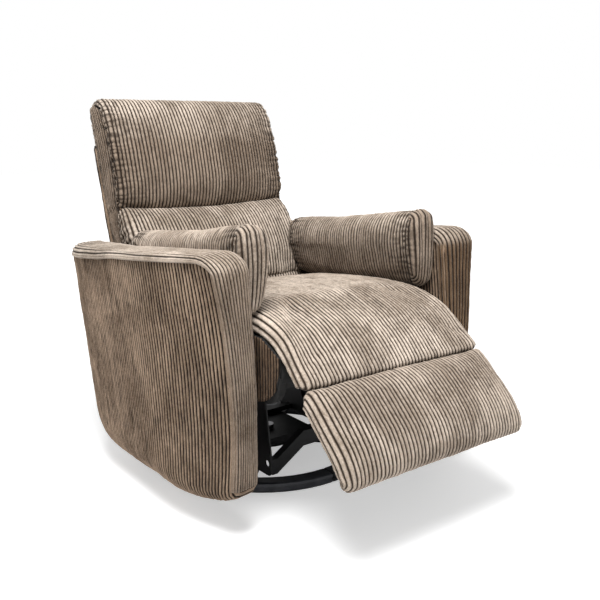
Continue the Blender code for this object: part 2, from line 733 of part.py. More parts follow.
# Base plate, its two cross bars, and the stands that carry the glide links
plate = add("glide_base_plate", prism(rectangle(-BASE_PLATE_HALF, BASE_PLATE_HALF, -BASE_PLATE_HALF,
                                                BASE_PLATE_HALF, BASE_PLATE_CORNER),
                                      along_z, PLATE_Z, PLATE_TOP_Z), BLACK_STEEL, swivel)
change(plate, spindle_cutter, 'DIFFERENCE')
bar_z = PLATE_TOP_Z + FACE_GAP
for name, side in (("glide_bar_front", -1), ("glide_bar_rear", 1)):
    near, far = sorted((side * (BASE_PLATE_HALF - GLIDE_BAR_DEPTH), side * BASE_PLATE_HALF))
    outline = rectangle(near, far, bar_z, bar_z + GLIDE_BAR_HEIGHT)
    bar_half = STAND_INNER_X - FACE_GAP
    add(name, prism(outline, along_x, -bar_half, bar_half), BLACK_STEEL, swivel)

stand_outer_x = STAND_INNER_X + STAND_THICKNESS
stand_top_half = GLIDE_PIVOT_Y + STAND_PIN_MARGIN
stand_outline = rounded([(-STAND_FOOT_HALF, bar_z, 0.0), (STAND_FOOT_HALF, bar_z, 0.0),
                         (stand_top_half, STAND_TOP_Z, STAND_CORNER),
                         (-stand_top_half, STAND_TOP_Z, STAND_CORNER)])
pin_hole = GLIDE_PIN_RADIUS + RUNNING_GAP
for name, side in (("glide_stand_left", 1), ("glide_stand_right", -1)):
    low, high = sorted((side * STAND_INNER_X, side * stand_outer_x))
    stand = add(name, prism(stand_outline, along_x, low, high), BLACK_STEEL, swivel)
    holes = [(-GLIDE_PIVOT_Y, GLIDE_TOP_PIVOT_Z, pin_hole), (GLIDE_PIVOT_Y, GLIDE_TOP_PIVOT_Z, pin_hole),
             (0.0, STAND_WINDOW_Z, STAND_WINDOW_RADIUS)]
    for k, (y, z, radius) in enumerate(holes):
        hole = turned(bar(radius, low - CUT_OVERRUN, high + CUT_OVERRUN), about_x(y, z))
        change(stand, cutter("%s_hole_%d" % (name, k + 1), hole), 'DIFFERENCE')

# Glide links, each with its two riveted pins
link_inner_x = stand_outer_x + GLIDE_LINK_SIDE_GAP
link_outer_x = link_inner_x + GLIDE_LINK_THICKNESS
plate_inner_x = link_outer_x + SIDE_PLATE_GAP
plate_outer_x = plate_inner_x + SIDE_PLATE_THICKNESS
link_middle_x = (link_inner_x + link_outer_x) / 2
GLIDE_LOW_PIVOT_Z = GLIDE_TOP_PIVOT_Z - GLIDE_LINK_LENGTH
LINK_STEPS = 6
for end, y in (("front", -GLIDE_PIVOT_Y), ("rear", GLIDE_PIVOT_Y)):
    carrier = axis_empty(end + "_link_axis", (0.0, y, GLIDE_TOP_PIVOT_Z))
    outline = (arc(y, GLIDE_TOP_PIVOT_Z, GLIDE_LINK_HALF_WIDTH, 0.0, 180.0, LINK_STEPS)
               + arc(y, GLIDE_LOW_PIVOT_Z, GLIDE_LINK_HALF_WIDTH, 180.0, 360.0, LINK_STEPS))
    for hand, side in (("left", 1), ("right", -1)):
        name = "glide_link_%s_%s" % (end, hand)
        low, high = sorted((side * link_inner_x, side * link_outer_x))
        link = add(name, prism(outline, along_x, low, high), GREY_STEEL, carrier)
        inner_rivet = STAND_INNER_X - RUNNING_GAP
        outer_rivet = plate_outer_x + RUNNING_GAP
        for z, rivet, way in ((GLIDE_TOP_PIVOT_Z, inner_rivet, -1), (GLIDE_LOW_PIVOT_Z, outer_rivet, 1)):
            tip = rivet + way * GLIDE_RIVET_HEIGHT
            profile = [(0.0, link_middle_x), (GLIDE_PIN_RADIUS, link_middle_x), (GLIDE_PIN_RADIUS, rivet),
                       (GLIDE_RIVET_RADIUS, rivet), (GLIDE_RIVET_RADIUS, tip), (0.0, tip)]
            pin = turned(profile, mirrored(about_x(y, z), side))
            change(link, cutter(name + ("_top_pin" if way < 0 else "_low_pin"), pin), 'UNION')

# Chassis side plates, hung on the links' lower pins
glide = axis_empty("glide_axis", (0.0, -GLIDE_PIVOT_Y, GLIDE_LOW_PIVOT_Z))
plate_top_z = CROSS_TUBE_BOTTOM_Z - FACE_GAP
side_plate_outline = rounded([
    (SIDE_PLATE_FRONT_Y, SIDE_PLATE_BOTTOM_Z, SIDE_PLATE_CORNER),
    (SIDE_PLATE_BOTTOM_REAR_Y, SIDE_PLATE_BOTTOM_Z, SIDE_PLATE_CORNER),
    (SIDE_PLATE_TOP_REAR_Y, plate_top_z, 0.0), (SIDE_PLATE_TOP_FRONT_Y, plate_top_z, 0.0),
    (SIDE_PLATE_FRONT_Y, SIDE_PLATE_FRONT_SHOULDER_Z, SIDE_PLATE_CORNER)])
for name, side in (("side_plate_left", 1), ("side_plate_right", -1)):
    low, high = sorted((side * plate_inner_x, side * plate_outer_x))
    plate = add(name, prism(side_plate_outline, along_x, low, high), BLACK_STEEL, glide)
    holes = [(-GLIDE_PIVOT_Y, GLIDE_LOW_PIVOT_Z, pin_hole),
             (GLIDE_PIVOT_Y, GLIDE_LOW_PIVOT_Z, GLIDE_PIN_RADIUS + OPEN_PIVOT_GAP),
             (SIDE_PLATE_EYE_Y, SIDE_PLATE_EYE_Z, SIDE_PLATE_EYE_RADIUS),
             (-SIDE_PLATE_WINDOW_Y, SIDE_PLATE_WINDOW_Z, SIDE_PLATE_WINDOW_RADIUS),
             (SIDE_PLATE_WINDOW_Y, SIDE_PLATE_WINDOW_Z, SIDE_PLATE_WINDOW_RADIUS)]
    for k, (y, z, radius) in enumerate(holes):
        hole = turned(bar(radius, low - CUT_OVERRUN, high + CUT_OVERRUN), about_x(y, z))
        change(plate, cutter("%s_hole_%d" % (name, k + 1), hole), 'DIFFERENCE')

# Front bracket: a pressed channel, open to the rear, that arches from plate to plate
bracket_end_x = plate_inner_x - FACE_GAP
bracket_path = [(-bracket_end_x, 0.0), (-BRACKET_FOOT_HALF, 0.0), (-BRACKET_TOP_HALF, BRACKET_RISE),
                (BRACKET_TOP_HALF, BRACKET_RISE), (BRACKET_FOOT_HALF, 0.0), (bracket_end_x, 0.0)]
bracket_back = BRACKET_FRONT_Y + BRACKET_DEPTH
bracket_section = [(BRACKET_FRONT_Y, 0.0), (bracket_back, 0.0), (bracket_back, BRACKET_WALL),
                   (BRACKET_FRONT_Y + BRACKET_WALL, BRACKET_WALL),
                   (BRACKET_FRONT_Y + BRACKET_WALL, BRACKET_HEIGHT - BRACKET_WALL),
                   (bracket_back, BRACKET_HEIGHT - BRACKET_WALL), (bracket_back, BRACKET_HEIGHT),
                   (BRACKET_FRONT_Y, BRACKET_HEIGHT)]


def bracket_point(i, j):
    """Point i of the channel's section at bend j of its arch."""
    x, rise = bracket_path[j]
    y, height = bracket_section[i]
    return Vector((x, y, BRACKET_FOOT_BOTTOM_Z + rise + height))


add("front_bracket", skin(bracket_point, len(bracket_section), len(bracket_path) - 1), BLACK_STEEL, glide)

# Two square cross tubes that carry the seat frame and the arms
board_inner_x = ARM_INNER_X - FACE_GAP - ARM_BOARD_THICKNESS
tube_end_x = board_inner_x - FACE_GAP
CROSS_TUBE_TOP_Z = CROSS_TUBE_BOTTOM_Z + CROSS_TUBE_SIZE
for name, y in (("cross_tube_front", CROSS_TUBE_FRONT_Y), ("cross_tube_rear", CROSS_TUBE_REAR_Y)):
    outline = rectangle(y - CROSS_TUBE_SIZE / 2, y + CROSS_TUBE_SIZE / 2, CROSS_TUBE_BOTTOM_Z,
                        CROSS_TUBE_TOP_Z, CROSS_TUBE_CORNER)
    bm = skin(lambda i, j: along_x(-tube_end_x + 2 * tube_end_x * j, *outline[i]), len(outline), 1,
              open_ends=True)
    tube = add(name, bm, BLACK_STEEL, glide)
    wall = tube.modifiers.new("wall", 'SOLIDIFY')
    wall.thickness = CROSS_TUBE_WALL
    wall.offset = -1.0
    wall.use_even_offset = True

# Wooden seat frame on the cross tubes: side rails with rounded noses, and two rails across
RAIL_BOTTOM_Z = CROSS_TUBE_TOP_Z + FACE_GAP
RAIL_TOP_Z = RAIL_BOTTOM_Z + SEAT_RAIL_HEIGHT
rail_outer_x = SEAT_RAIL_INNER_X + SEAT_RAIL_THICKNESS
rail_outline = rounded([
    (SEAT_RAIL_FRONT_Y, RAIL_BOTTOM_Z, SEAT_RAIL_NOSE_RADIUS),
    (SEAT_RAIL_REAR_Y, RAIL_BOTTOM_Z, SEAT_RAIL_TAIL_RADIUS),
    (SEAT_RAIL_REAR_Y, RAIL_TOP_Z, SEAT_RAIL_TAIL_RADIUS / 2), (SEAT_RAIL_FRONT_Y, RAIL_TOP_Z, 0.0)],
    2 * FILLET_STEPS)
for name, side in (("seat_rail_left", 1), ("seat_rail_right", -1)):
    low, high = sorted((side * SEAT_RAIL_INNER_X, side * rail_outer_x))
    rail = add(name, prism(rail_outline, along_x, low, high), PINE, glide)
    holes = [(LEG_HINGE_Y, LEG_HINGE_Z, TORQUE_TUBE_RADIUS + RUNNING_GAP),
             (BACK_HINGE_Y, BACK_HINGE_Z, BACK_PIN_RADIUS + RUNNING_GAP)]
    for k, (y, z, radius) in enumerate(holes):
        hole = turned(bar(radius, low - CUT_OVERRUN, high + CUT_OVERRUN), about_x(y, z))
        change(rail, cutter("%s_hole_%d" % (name, k + 1), hole), 'DIFFERENCE')
spring_bottom_z = RAIL_TOP_Z - 2 * SPRING_WIRE_RADIUS
rail_end_x = SEAT_RAIL_INNER_X - FACE_GAP
for name, y in (("seat_rail_front", SEAT_FRONT_RAIL_Y), ("seat_rail_rear", SEAT_REAR_RAIL_Y)):
    outline = rectangle(y - SEAT_CROSS_RAIL_DEPTH / 2, y + SEAT_CROSS_RAIL_DEPTH / 2,
                        RAIL_BOTTOM_Z, spring_bottom_z - FACE_GAP)
    add(name, prism(outline, along_x, -rail_end_x, rail_end_x), PINE, glide)

# Zigzag springs from rail to rail, each one unbroken wire
for number in range(SPRING_COUNT):
    middle_x = (number - (SPRING_COUNT - 1) / 2) * SPRING_SPACING
    count = SPRING_WAVES * SPRING_POINTS_PER_WAVE
    start, end = SEAT_FRONT_RAIL_Y, SEAT_REAR_RAIL_Y
    route = [(middle_x, start - SPRING_TAIL / 2)]
    for k in range(count + 1):
        share = k / count
        x = middle_x + SPRING_HALF_WIDTH * sin(2 * pi * SPRING_WAVES * share)
        route.append((x, start + SPRING_TAIL / 2 + (end - start - SPRING_TAIL) * share))
    route.append((middle_x, end + SPRING_TAIL / 2))
    curve = bpy.data.curves.new("spring_route", 'CURVE')
    curve.dimensions = '3D'
    curve.bevel_depth = SPRING_WIRE_RADIUS
    curve.bevel_resolution = 0
    curve.use_fill_caps = True
    line = curve.splines.new('POLY')
    line.points.add(len(route) - 1)
    for point, (x, y) in zip(line.points, route):
        point.co = (x, y, spring_bottom_z + SPRING_WIRE_RADIUS, 1.0)
    wire = bpy.data.objects.new("seat_spring_%d" % (number + 1), curve)
    bpy.context.scene.collection.objects.link(wire)
    wire.parent = glide
    wire.matrix_parent_inverse = Matrix.Translation(-glide.location)
    steel = bpy.data.materials.new(wire.name + "_finish")
    steel.use_nodes = True
    shader = steel.node_tree.nodes["Principled BSDF"]
    shader.inputs["Base Color"].default_value = (*BRIGHT_STEEL[:3], 1.0)
    shader.inputs["Roughness"].default_value = BRIGHT_STEEL[3]
    shader.inputs["Metallic"].default_value = BRIGHT_STEEL[4]
    curve.materials.append(steel)

# Seat cushion: flat underneath, sloping back on top, with a rounded nose under the chaise pad
cushion_bottom_z = RAIL_TOP_Z + FACE_GAP
seat_corners = [
    (SEAT_REAR_Y, cushion_bottom_z, 0.0), (SEAT_REAR_Y, SEAT_REAR_TOP_Z, NOSE_ROUND),
    (SEAT_MIDDLE_Y, SEAT_MIDDLE_Z, 0.0), (SEAT_FRONT_TOP_Y, SEAT_FRONT_TOP_Z, NOSE_ROUND),
    (SEAT_STEP_Y, SEAT_STEP_TOP_Z, 0.0), (SEAT_STEP_Y, NOSE_TOP_Z, 0.0),
    (NOSE_SHOULDER_Y, NOSE_SHOULDER_Z, NOSE_ROUND), (NOSE_FRONT_Y, NOSE_FRONT_Z, NOSE_ROUND),
    (NOSE_FRONT_Y, cushion_bottom_z, 0.0)]
seat_swells = [1.0 if z > SEAT_REAR_TOP_Z and y > SEAT_STEP_Y else 0.0 for y, z in rounded(seat_corners)]
add("seat_cushion", padded(lambda x: seat_corners, seat_swells, along_x, SEAT_CUSHION_HALF,
                           SEAT_CUSHION_EDGE, SEAT_CUSHION_CROWN, SEAT_CUSHION_DRAW), CORDUROY, glide)

# Arms: rings that run from the front face along the side and round the rear corner


def arm_outer_plan(share):
    """The outer face seen from above, at its fullest height, from front (0) to rear end (1)."""
    side_length = ARM_CORNER_FROM_Y - ARM_FRONT_Y
    corner_length = ARM_REAR_Y - ARM_CORNER_FROM_Y + ARM_WIDEST_X - ARM_REAR_X
    reach = share * (side_length + corner_length)
    if reach < side_length:
        y = ARM_FRONT_Y + reach
        bulge = min(1.0, (y - ARM_FRONT_Y) / (ARM_WIDEST_FROM_Y - ARM_FRONT_Y))
        return ARM_FRONT_X + (ARM_WIDEST_X - ARM_FRONT_X) * sin(pi / 2 * bulge), y
    angle = pi / 2 * (reach - side_length) / corner_length
    power = 2 / ARM_CORNER_POWER
    return (ARM_REAR_X + (ARM_WIDEST_X - ARM_REAR_X) * max(0.0, cos(angle)) ** power,
            ARM_CORNER_FROM_Y + (ARM_REAR_Y - ARM_CORNER_FROM_Y) * sin(angle) ** power)


def arm_inner_plan(share):
    """The point of the inner face that faces the same point of the outer one."""
    x, y = arm_outer_plan(share)
    fade = min(1.0, max(0.0, (ARM_STEP_FADE_Y - y) / (ARM_STEP_FADE_Y - ARM_FRONT_Y)))
    y_end = ARM_CORNER_FROM_Y + (ARM_REAR_INNER_Y - ARM_CORNER_FROM_Y) * (
        (y - ARM_CORNER_FROM_Y) / (ARM_REAR_Y - ARM_CORNER_FROM_Y))
    return ARM_INNER_X, (y_end if y > ARM_CORNER_FROM_Y else y + ARM_FRONT_STEP * fade)


def arm_bend(x, y, z):
    """Bend a plan point at its height: the front bows back and flares, and the rear leans forward."""
    share = (y - ARM_FRONT_Y) / (ARM_REAR_Y - ARM_FRONT_Y)
    curve = ((z - ARM_BOW_Z) / ARM_BOW_SPAN) ** 2
    flare = ARM_FLARE * curve * (1 - share) ** 3 * min(1.0, (x - ARM_INNER_X) / (ARM_FRONT_X - ARM_INNER_X))
    return Vector((x + flare, y + (1 - share) * ARM_BOW * curve - share * ARM_REAR_LEAN * (ARM_TOP_Z - z), z))


def round_drop(distance, length, height):
    """How much an elliptical end has fallen at a distance from its tip."""
    share = max(0.0, 1 - distance / length)
    return height * (1 - sqrt(max(0.0, 1 - share * share)))


ARM_SHARES = (0.0, 0.012, 0.03, 0.06, 0.10, 0.15, 0.22, 0.31, 0.41, 0.51, 0.61, 0.69, 0.75, 0.80,
              0.85, 0.90, 0.95, 0.985, 1.0)
ARM_END_INSET_SHARES = {0: 1.0, 1: 0.25, len(ARM_SHARES) - 2: 0.25, len(ARM_SHARES) - 1: 1.0}


def arm_ring(j):
    """Ring j of the arm: its section in thickness and height, then bent into the plan."""
    share = ARM_SHARES[j]
    outer, inner = Vector(arm_outer_plan(share)), Vector(arm_inner_plan(share))
    thick = (outer - inner).length
    front = outer.y - ARM_FRONT_Y
    rear = ARM_REAR_Y - outer.y
    top = (ARM_TOP_Z - ARM_TOP_SLOPE * arm_bend(outer.x, outer.y, ARM_TOP_Z).y
           - round_drop(front, ARM_FRONT_TOP_LENGTH, ARM_FRONT_TOP_DROP))
    bottom = (ARM_BOTTOM_Z + round_drop(front, ARM_FRONT_BOTTOM_LENGTH, ARM_FRONT_BOTTOM_RISE)
              + round_drop(rear, ARM_REAR_BOTTOM_LENGTH, ARM_REAR_BOTTOM_RISE))
    fullness = min(1.0, front / (ARM_BOTTOM_ROUND_FULL_Y - ARM_FRONT_Y))
    bottom_round = ARM_FRONT_BOTTOM_ROUND + (ARM_BOTTOM_ROUND - ARM_FRONT_BOTTOM_ROUND) * fullness
    section = rounded([(0.0, bottom, ARM_INNER_BOTTOM_ROUND), (thick, bottom, bottom_round),
                       (thick, top, ARM_TOP_OUTER_ROUND), (thick / 2, top + ARM_TOP_CROWN, 0.0),
                       (0.0, top, ARM_TOP_INNER_ROUND)], FILLET_STEPS + 1,
                      ARM_SEAM_ROUND * ARM_END_INSET_SHARES.get(j, 0.0))
    ring = []
    for across, z in section:
        place = inner.lerp(outer, across / thick)
        ring.append(arm_bend(max(ARM_INNER_X, place.x), place.y, z))
    return ring


arm_rings = [arm_ring(j) for j in range(len(ARM_SHARES))]
board_outline = rounded([
    (ARM_BOARD_FRONT_Y, ARM_BOARD_BOTTOM_Z, ARM_BOARD_CORNER),
    (ARM_BOARD_REAR_Y, ARM_BOARD_BOTTOM_Z, ARM_BOARD_CORNER),
    (ARM_BOARD_REAR_Y, ARM_BOARD_TOP_Z, ARM_BOARD_CORNER),
    (ARM_BOARD_FRONT_Y, ARM_BOARD_TOP_Z, ARM_BOARD_CORNER)])
PILLOW_SHARES = (0.0, 0.04, 0.12, 0.28, 0.45, 0.62, 0.78, 0.90, 0.965, 1.0)


def pillow_ring(j):
    """Ring j of an arm pillow: a leaning pad that hangs inside the arm."""
    share = PILLOW_SHARES[j]
    y = PILLOW_FRONT_Y + (PILLOW_REAR_Y - PILLOW_FRONT_Y) * share
    top = PILLOW_TOP_FRONT_Z + (PILLOW_TOP_REAR_Z - PILLOW_TOP_FRONT_Z) * share
    bottom = PILLOW_BOTTOM_FRONT_Z + (PILLOW_BOTTOM_REAR_Z - PILLOW_BOTTOM_FRONT_Z) * share
    length = PILLOW_REAR_Y - PILLOW_FRONT_Y
    near_end = min(share, 1 - share) * length
    depth = round_drop(near_end, PILLOW_END_ROUND, PILLOW_END_ROUND)
    section = rounded([(PILLOW_OUTER_X, bottom, PILLOW_ROUND / 4), (PILLOW_OUTER_X, top, PILLOW_ROUND),
                       (PILLOW_INNER_X, top, PILLOW_ROUND),
                       (PILLOW_INNER_X, (top + bottom) / 2, PILLOW_ROUND),
                       (PILLOW_FOOT_X, bottom, PILLOW_ROUND / 4)], FILLET_STEPS, depth * PILLOW_INSET_SHARE)
    return [Vector((x, y, z)) for x, z in section]


pillow_rings = [pillow_ring(j) for j in range(len(PILLOW_SHARES))]
arms = {}
for hand, side in (("left", 1), ("right", -1)):
    flip = Matrix.Scale(side, 4, (1.0, 0.0, 0.0))
    bm = skin(lambda i, j: flip @ arm_rings[j][i], len(arm_rings[0]), len(arm_rings) - 1, fan=True)
    arms[hand] = add("arm_" + hand, bm, CORDUROY_DARK, glide)
    low, high = sorted((side * board_inner_x, side * (board_inner_x + ARM_BOARD_THICKNESS)))
    add("arm_board_" + hand, prism(board_outline, along_x, low, high), PLYWOOD, glide)
    bm = skin(lambda i, j: flip @ pillow_rings[j][i], len(pillow_rings[0]), len(pillow_rings) - 1)
    add("arm_pillow_" + hand, bm, CORDUROY, glide)

# Control: a housing let into the left arm's outer face, with two buttons that travel inwards
control_share = (CONTROL_Y - ARM_FRONT_Y) / (ARM_CORNER_FROM_Y - ARM_FRONT_Y + ARM_REAR_Y - ARM_CORNER_FROM_Y
                                             + ARM_WIDEST_X - ARM_REAR_X)
face_x, face_y = arm_outer_plan(control_share)
near_x, near_y = arm_outer_plan(control_share + 1 / len(ARM_SHARES) / len(ARM_SHARES))
tangent = Vector((near_x - face_x, near_y - face_y, 0.0)).normalized()
normal = Vector((tangent.y, -tangent.x, 0.0))
control_origin = arm_bend(face_x, face_y, CONTROL_Z)


def on_control(depth, a, b):
    """A place at the control: depth outwards from the arm's face, a along it, b up."""
    return control_origin + normal * depth + tangent * a + Vector((0.0, 0.0, b))


def panel(half_a, half_b, grow, centre_b=0.0):
    """An upright rounded rectangle on the control, grown all round."""
    corner = CONTROL_CORNER if half_b > BUTTON_HALF_LENGTH else BUTTON_CORNER
    wide, tall = half_a + grow, half_b + grow
    return [(a, b + centre_b) for a, b in rectangle(-wide, wide, -tall, tall, corner)]


pocket = prism(panel(CONTROL_HALF_WIDTH, CONTROL_HALF_LENGTH, FACE_GAP), on_control,
               CONTROL_PROUD - CONTROL_DEPTH - FACE_GAP, CONTROL_DEPTH)
change(arms["left"], cutter("control_pocket", pocket), 'DIFFERENCE')
housing = add("control_housing", prism(panel(CONTROL_HALF_WIDTH, CONTROL_HALF_LENGTH, 0.0), on_control,
                                       CONTROL_PROUD - CONTROL_DEPTH, CONTROL_PROUD), BLACK_PLASTIC, glide)
button_floor = CONTROL_PROUD + BUTTON_PROUD - BUTTON_HEIGHT
for name, side in (("button_open", 1), ("button_close", -1)):
    middle_b = side * BUTTON_PITCH / 2
    well = prism(panel(BUTTON_HALF_WIDTH, BUTTON_HALF_LENGTH, BUTTON_CLEARANCE, middle_b), on_control,
                 button_floor - BUTTON_TRAVEL - BUTTON_CLEARANCE, CONTROL_DEPTH)
    change(housing, cutter(name + "_well", well), 'DIFFERENCE')
    slide = axis_empty(name + "_axis", on_control(CONTROL_PROUD, 0.0, middle_b))
    add(name, prism(panel(BUTTON_HALF_WIDTH, BUTTON_HALF_LENGTH, 0.0, middle_b), on_control,
                    button_floor, CONTROL_PROUD + BUTTON_PROUD), GREY_PLASTIC, slide)

# Leg rest: torque tube with its crank and pin, on the hinge
leg = axis_empty("leg_rest_axis", (0.0, LEG_HINGE_Y, LEG_HINGE_Z))
torque_tube = add("torque_tube", turned(bar(TORQUE_TUBE_RADIUS, -rail_outer_x, rail_outer_x),
                                        about_x(LEG_HINGE_Y, LEG_HINGE_Z)), GREY_STEEL, leg)
lead = radians(CRANK_LEAD_DEG)
pin_y = LEG_HINGE_Y - CRANK_RADIUS * sin(lead)
pin_z = LEG_HINGE_Z - CRANK_RADIUS * cos(lead)
crank_outline = (arc(LEG_HINGE_Y, LEG_HINGE_Z, CRANK_EYE_RADIUS, 0.0 - CRANK_LEAD_DEG, 180.0 - CRANK_LEAD_DEG,
                     2 * LINK_STEPS)
                 + arc(pin_y, pin_z, CRANK_END_RADIUS, 180.0 - CRANK_LEAD_DEG, 360.0 - CRANK_LEAD_DEG,
                       LINK_STEPS))
crank = cutter("crank", prism(crank_outline, along_x, -CRANK_THICKNESS / 2, CRANK_THICKNESS / 2))
crank_pin = cutter("crank_pin", turned(bar(CRANK_PIN_RADIUS, -CRANK_PIN_HALF_LENGTH, CRANK_PIN_HALF_LENGTH),
                                       about_x(pin_y, pin_z)))
change(torque_tube, crank, 'UNION')
change(torque_tube, crank_pin, 'UNION')

# Leg rest arms on the torque tube, and the board between them
leg_arm_outer_x = BOARD_HALF - LEG_ARM_INSET
leg_arm_inner_x = leg_arm_outer_x - LEG_ARM_THICKNESS
leg_arm_outline = (arc(0.0, 0.0, LEG_ARM_EYE_RADIUS, 70.0, 290.0, LINK_STEPS)
                   + [(LEG_ARM_NECK, LEG_ARM_NECK_BOTTOM), (LEG_ARM_TIP, LEG_ARM_TIP_BOTTOM),
                      (LEG_ARM_TIP, LEG_ARM_TOP), (LEG_ARM_SHOULDER, LEG_ARM_TOP),
                      (LEG_ARM_NECK, LEG_ARM_NECK_TOP)])
for name, side in (("leg_arm_left", 1), ("leg_arm_right", -1)):
    low, high = sorted((side * leg_arm_inner_x, side * leg_arm_outer_x))
    leg_arm = add(name, prism(leg_arm_outline, on_slope, low, high), BLACK_STEEL, leg)
    hole = turned(bar(TORQUE_TUBE_RADIUS + FACE_GAP, low - CUT_OVERRUN, high + CUT_OVERRUN),
                  about_x(LEG_HINGE_Y, LEG_HINGE_Z))
    change(leg_arm, cutter(name + "_hole", hole), 'DIFFERENCE')
board_low = LEG_ARM_TOP + FACE_GAP
board_high = board_low + BOARD_THICKNESS
foot_bottom = board_high + FACE_GAP
add("foot_board", prism(rectangle(BOARD_START, BOARD_END, board_low, board_high, BOARD_CORNER), on_slope,
                        -BOARD_HALF, BOARD_HALF), PLYWOOD, leg)

# Chaise pad: hollowed at its root to turn round the seat's nose
root_arc = arc(0.0, 0.0, CHAISE_ROOT_RADIUS, 90.0 - CHAISE_ROOT_SWEEP_DEG, 87.0, CHAISE_ROOT_STEPS)
chaise_corners = ([(CHAISE_ROOT, LEG_SURFACE, 0.0),
                   (CHAISE_LENGTH, LEG_SURFACE - PAD_CROWN / 2, CHAISE_EDGE_ROUND),
                   (CHAISE_LENGTH, CHAISE_TIP_BOTTOM, CHAISE_EDGE_ROUND)]
                  + [(u, n, 0.0) for u, n in root_arc])
chaise_swells = [1.0 if n > CHAISE_ROOT_RADIUS else 0.0 for u, n in rounded(chaise_corners)]
add("chaise_pad", padded(lambda x: chaise_corners, chaise_swells, on_slope, PAD_HALF, PAD_EDGE / 3,
                         PAD_CROWN, PAD_DRAW), CORDUROY, leg)

# Foot pad: crowned, on the board, with a rounded tip and an underside that rises beside the board
foot_start = CHAISE_LENGTH + FACE_GAP


def foot_corners(x):
    """The corners of the foot pad's profile at x."""
    hem = FOOT_HEM_RISE * max(0.0, (abs(x) - BOARD_HALF) / (PAD_HALF - BOARD_HALF))
    low = foot_bottom + hem
    return [(foot_start, low, 0.0), (FOOT_END - FOOT_TIP_ROUND, low, FOOT_TIP_ROUND / 2),
            (FOOT_END, max(low, FOOT_TIP_BOTTOM) + FOOT_TIP_ROUND / 2, FOOT_TIP_ROUND / 2),
            (FOOT_END, FOOT_TIP_TOP, FOOT_TIP_ROUND / 2),
            ((foot_start + FOOT_END) / 2, FOOT_CROWN_SURFACE, FOOT_TIP_ROUND * 2),
            (foot_start, LEG_SURFACE - PAD_CROWN, FOOT_SEAM_ROUND)]


foot_swells = [1.0 if n > (foot_bottom + LEG_SURFACE) / 2 else 0.0 for u, n in rounded(foot_corners(0.0))]
add("foot_pad", padded(foot_corners, foot_swells, on_slope, PAD_HALF, PAD_EDGE, PAD_CROWN, PAD_DRAW),
    CORDUROY, leg)

# Drive rod with its yoke, whose slots hold the crank's pin
drive = axis_empty("drive_axis", (0.0, ROD_REAR_Y, ROD_Z))
yoke_inner = CRANK_THICKNESS / 2 + YOKE_SIDE_GAP
yoke_outer = yoke_inner + YOKE_WALL
slot_y = pin_y + YOKE_SLOT_OFFSET_Y
yoke = rectangle(slot_y - YOKE_NOSE, slot_y + YOKE_TAIL, YOKE_BOTTOM_Z, YOKE_TOP_Z)
rod = add("drive_rod", prism(yoke, along_x,
                             -yoke_outer, yoke_outer), GREY_STEEL, drive)
throat = prism(rectangle(slot_y - YOKE_NOSE - CUT_OVERRUN, slot_y + YOKE_THROAT, YOKE_BOTTOM_Z - CUT_OVERRUN,
                         YOKE_TOP_Z + CUT_OVERRUN), along_x, -yoke_inner, yoke_inner)
slot_straight = YOKE_SLOT_HALF_HEIGHT - YOKE_SLOT_HALF_WIDTH
slot = (arc(slot_y, YOKE_SLOT_Z + slot_straight, YOKE_SLOT_HALF_WIDTH, 0.0, 180.0, LINK_STEPS)
        + arc(slot_y, YOKE_SLOT_Z - slot_straight, YOKE_SLOT_HALF_WIDTH, 180.0, 360.0, LINK_STEPS))
change(rod, cutter("yoke_throat", throat), 'DIFFERENCE')
slot_half = yoke_outer + CUT_OVERRUN
change(rod, cutter("yoke_slot", prism(slot, along_x, -slot_half, slot_half)), 'DIFFERENCE')
change(rod, cutter("rod_shaft", turned(bar(ROD_RADIUS, slot_y + YOKE_TAIL - CUT_OVERRUN, ROD_REAR_Y),
                                       about_y(0.0, ROD_Z))), 'UNION')

# Actuator tube, hung from the front cross tube
tube = add("actuator_tube", turned(collar(ROD_RADIUS + RUNNING_GAP, ACTUATOR_RADIUS, ACTUATOR_FRONT_Y,
                                          ACTUATOR_REAR_Y), about_y(0.0, ROD_Z)), GREY_STEEL, glide)
hanger = prism(rectangle(CROSS_TUBE_FRONT_Y - HANGER_HALF_DEPTH, CROSS_TUBE_FRONT_Y + HANGER_HALF_DEPTH,
                         ROD_Z + ACTUATOR_RADIUS - HANGER_SINK, CROSS_TUBE_BOTTOM_Z - FACE_GAP),
               along_x, -HANGER_HALF_WIDTH, HANGER_HALF_WIDTH)
change(tube, cutter("actuator_hanger", hanger), 'UNION')

# Gearbox with its lug to the rear cross tube and its power inlet, and the motor beside it
gearbox_front = ACTUATOR_REAR_Y + FACE_GAP
gearbox_rear = gearbox_front + GEARBOX_LENGTH
gearbox_outline = rectangle(gearbox_front, gearbox_rear, GEARBOX_BOTTOM_Z, GEARBOX_TOP_Z, GEARBOX_CORNER)
gearbox = add("gearbox", prism(gearbox_outline,
                               along_x, -GEARBOX_HALF_WIDTH, GEARBOX_HALF_WIDTH), BLACK_PLASTIC, glide)
lug_rear = CROSS_TUBE_REAR_Y - CROSS_TUBE_SIZE / 2 - FACE_GAP
lug = prism(rectangle(gearbox_rear - 2 * GEARBOX_CORNER, lug_rear, GEARBOX_LUG_BOTTOM_Z,
                      GEARBOX_TOP_Z + GEARBOX_CORNER),
            along_x, -GEARBOX_LUG_HALF_WIDTH, GEARBOX_LUG_HALF_WIDTH)
change(gearbox, cutter("gearbox_lug", lug), 'UNION')
inlet = turned(bar(INLET_RADIUS, gearbox_rear - GEARBOX_CORNER, gearbox_rear + INLET_LENGTH),
               about_y(0.0, INLET_Z))
change(gearbox, cutter("inlet_boss", inlet), 'UNION')
inlet_bore = turned(bar(INLET_BORE_RADIUS, gearbox_rear + INLET_LENGTH - INLET_BORE_DEPTH,
                        gearbox_rear + INLET_LENGTH + CUT_OVERRUN), about_y(0.0, INLET_Z))
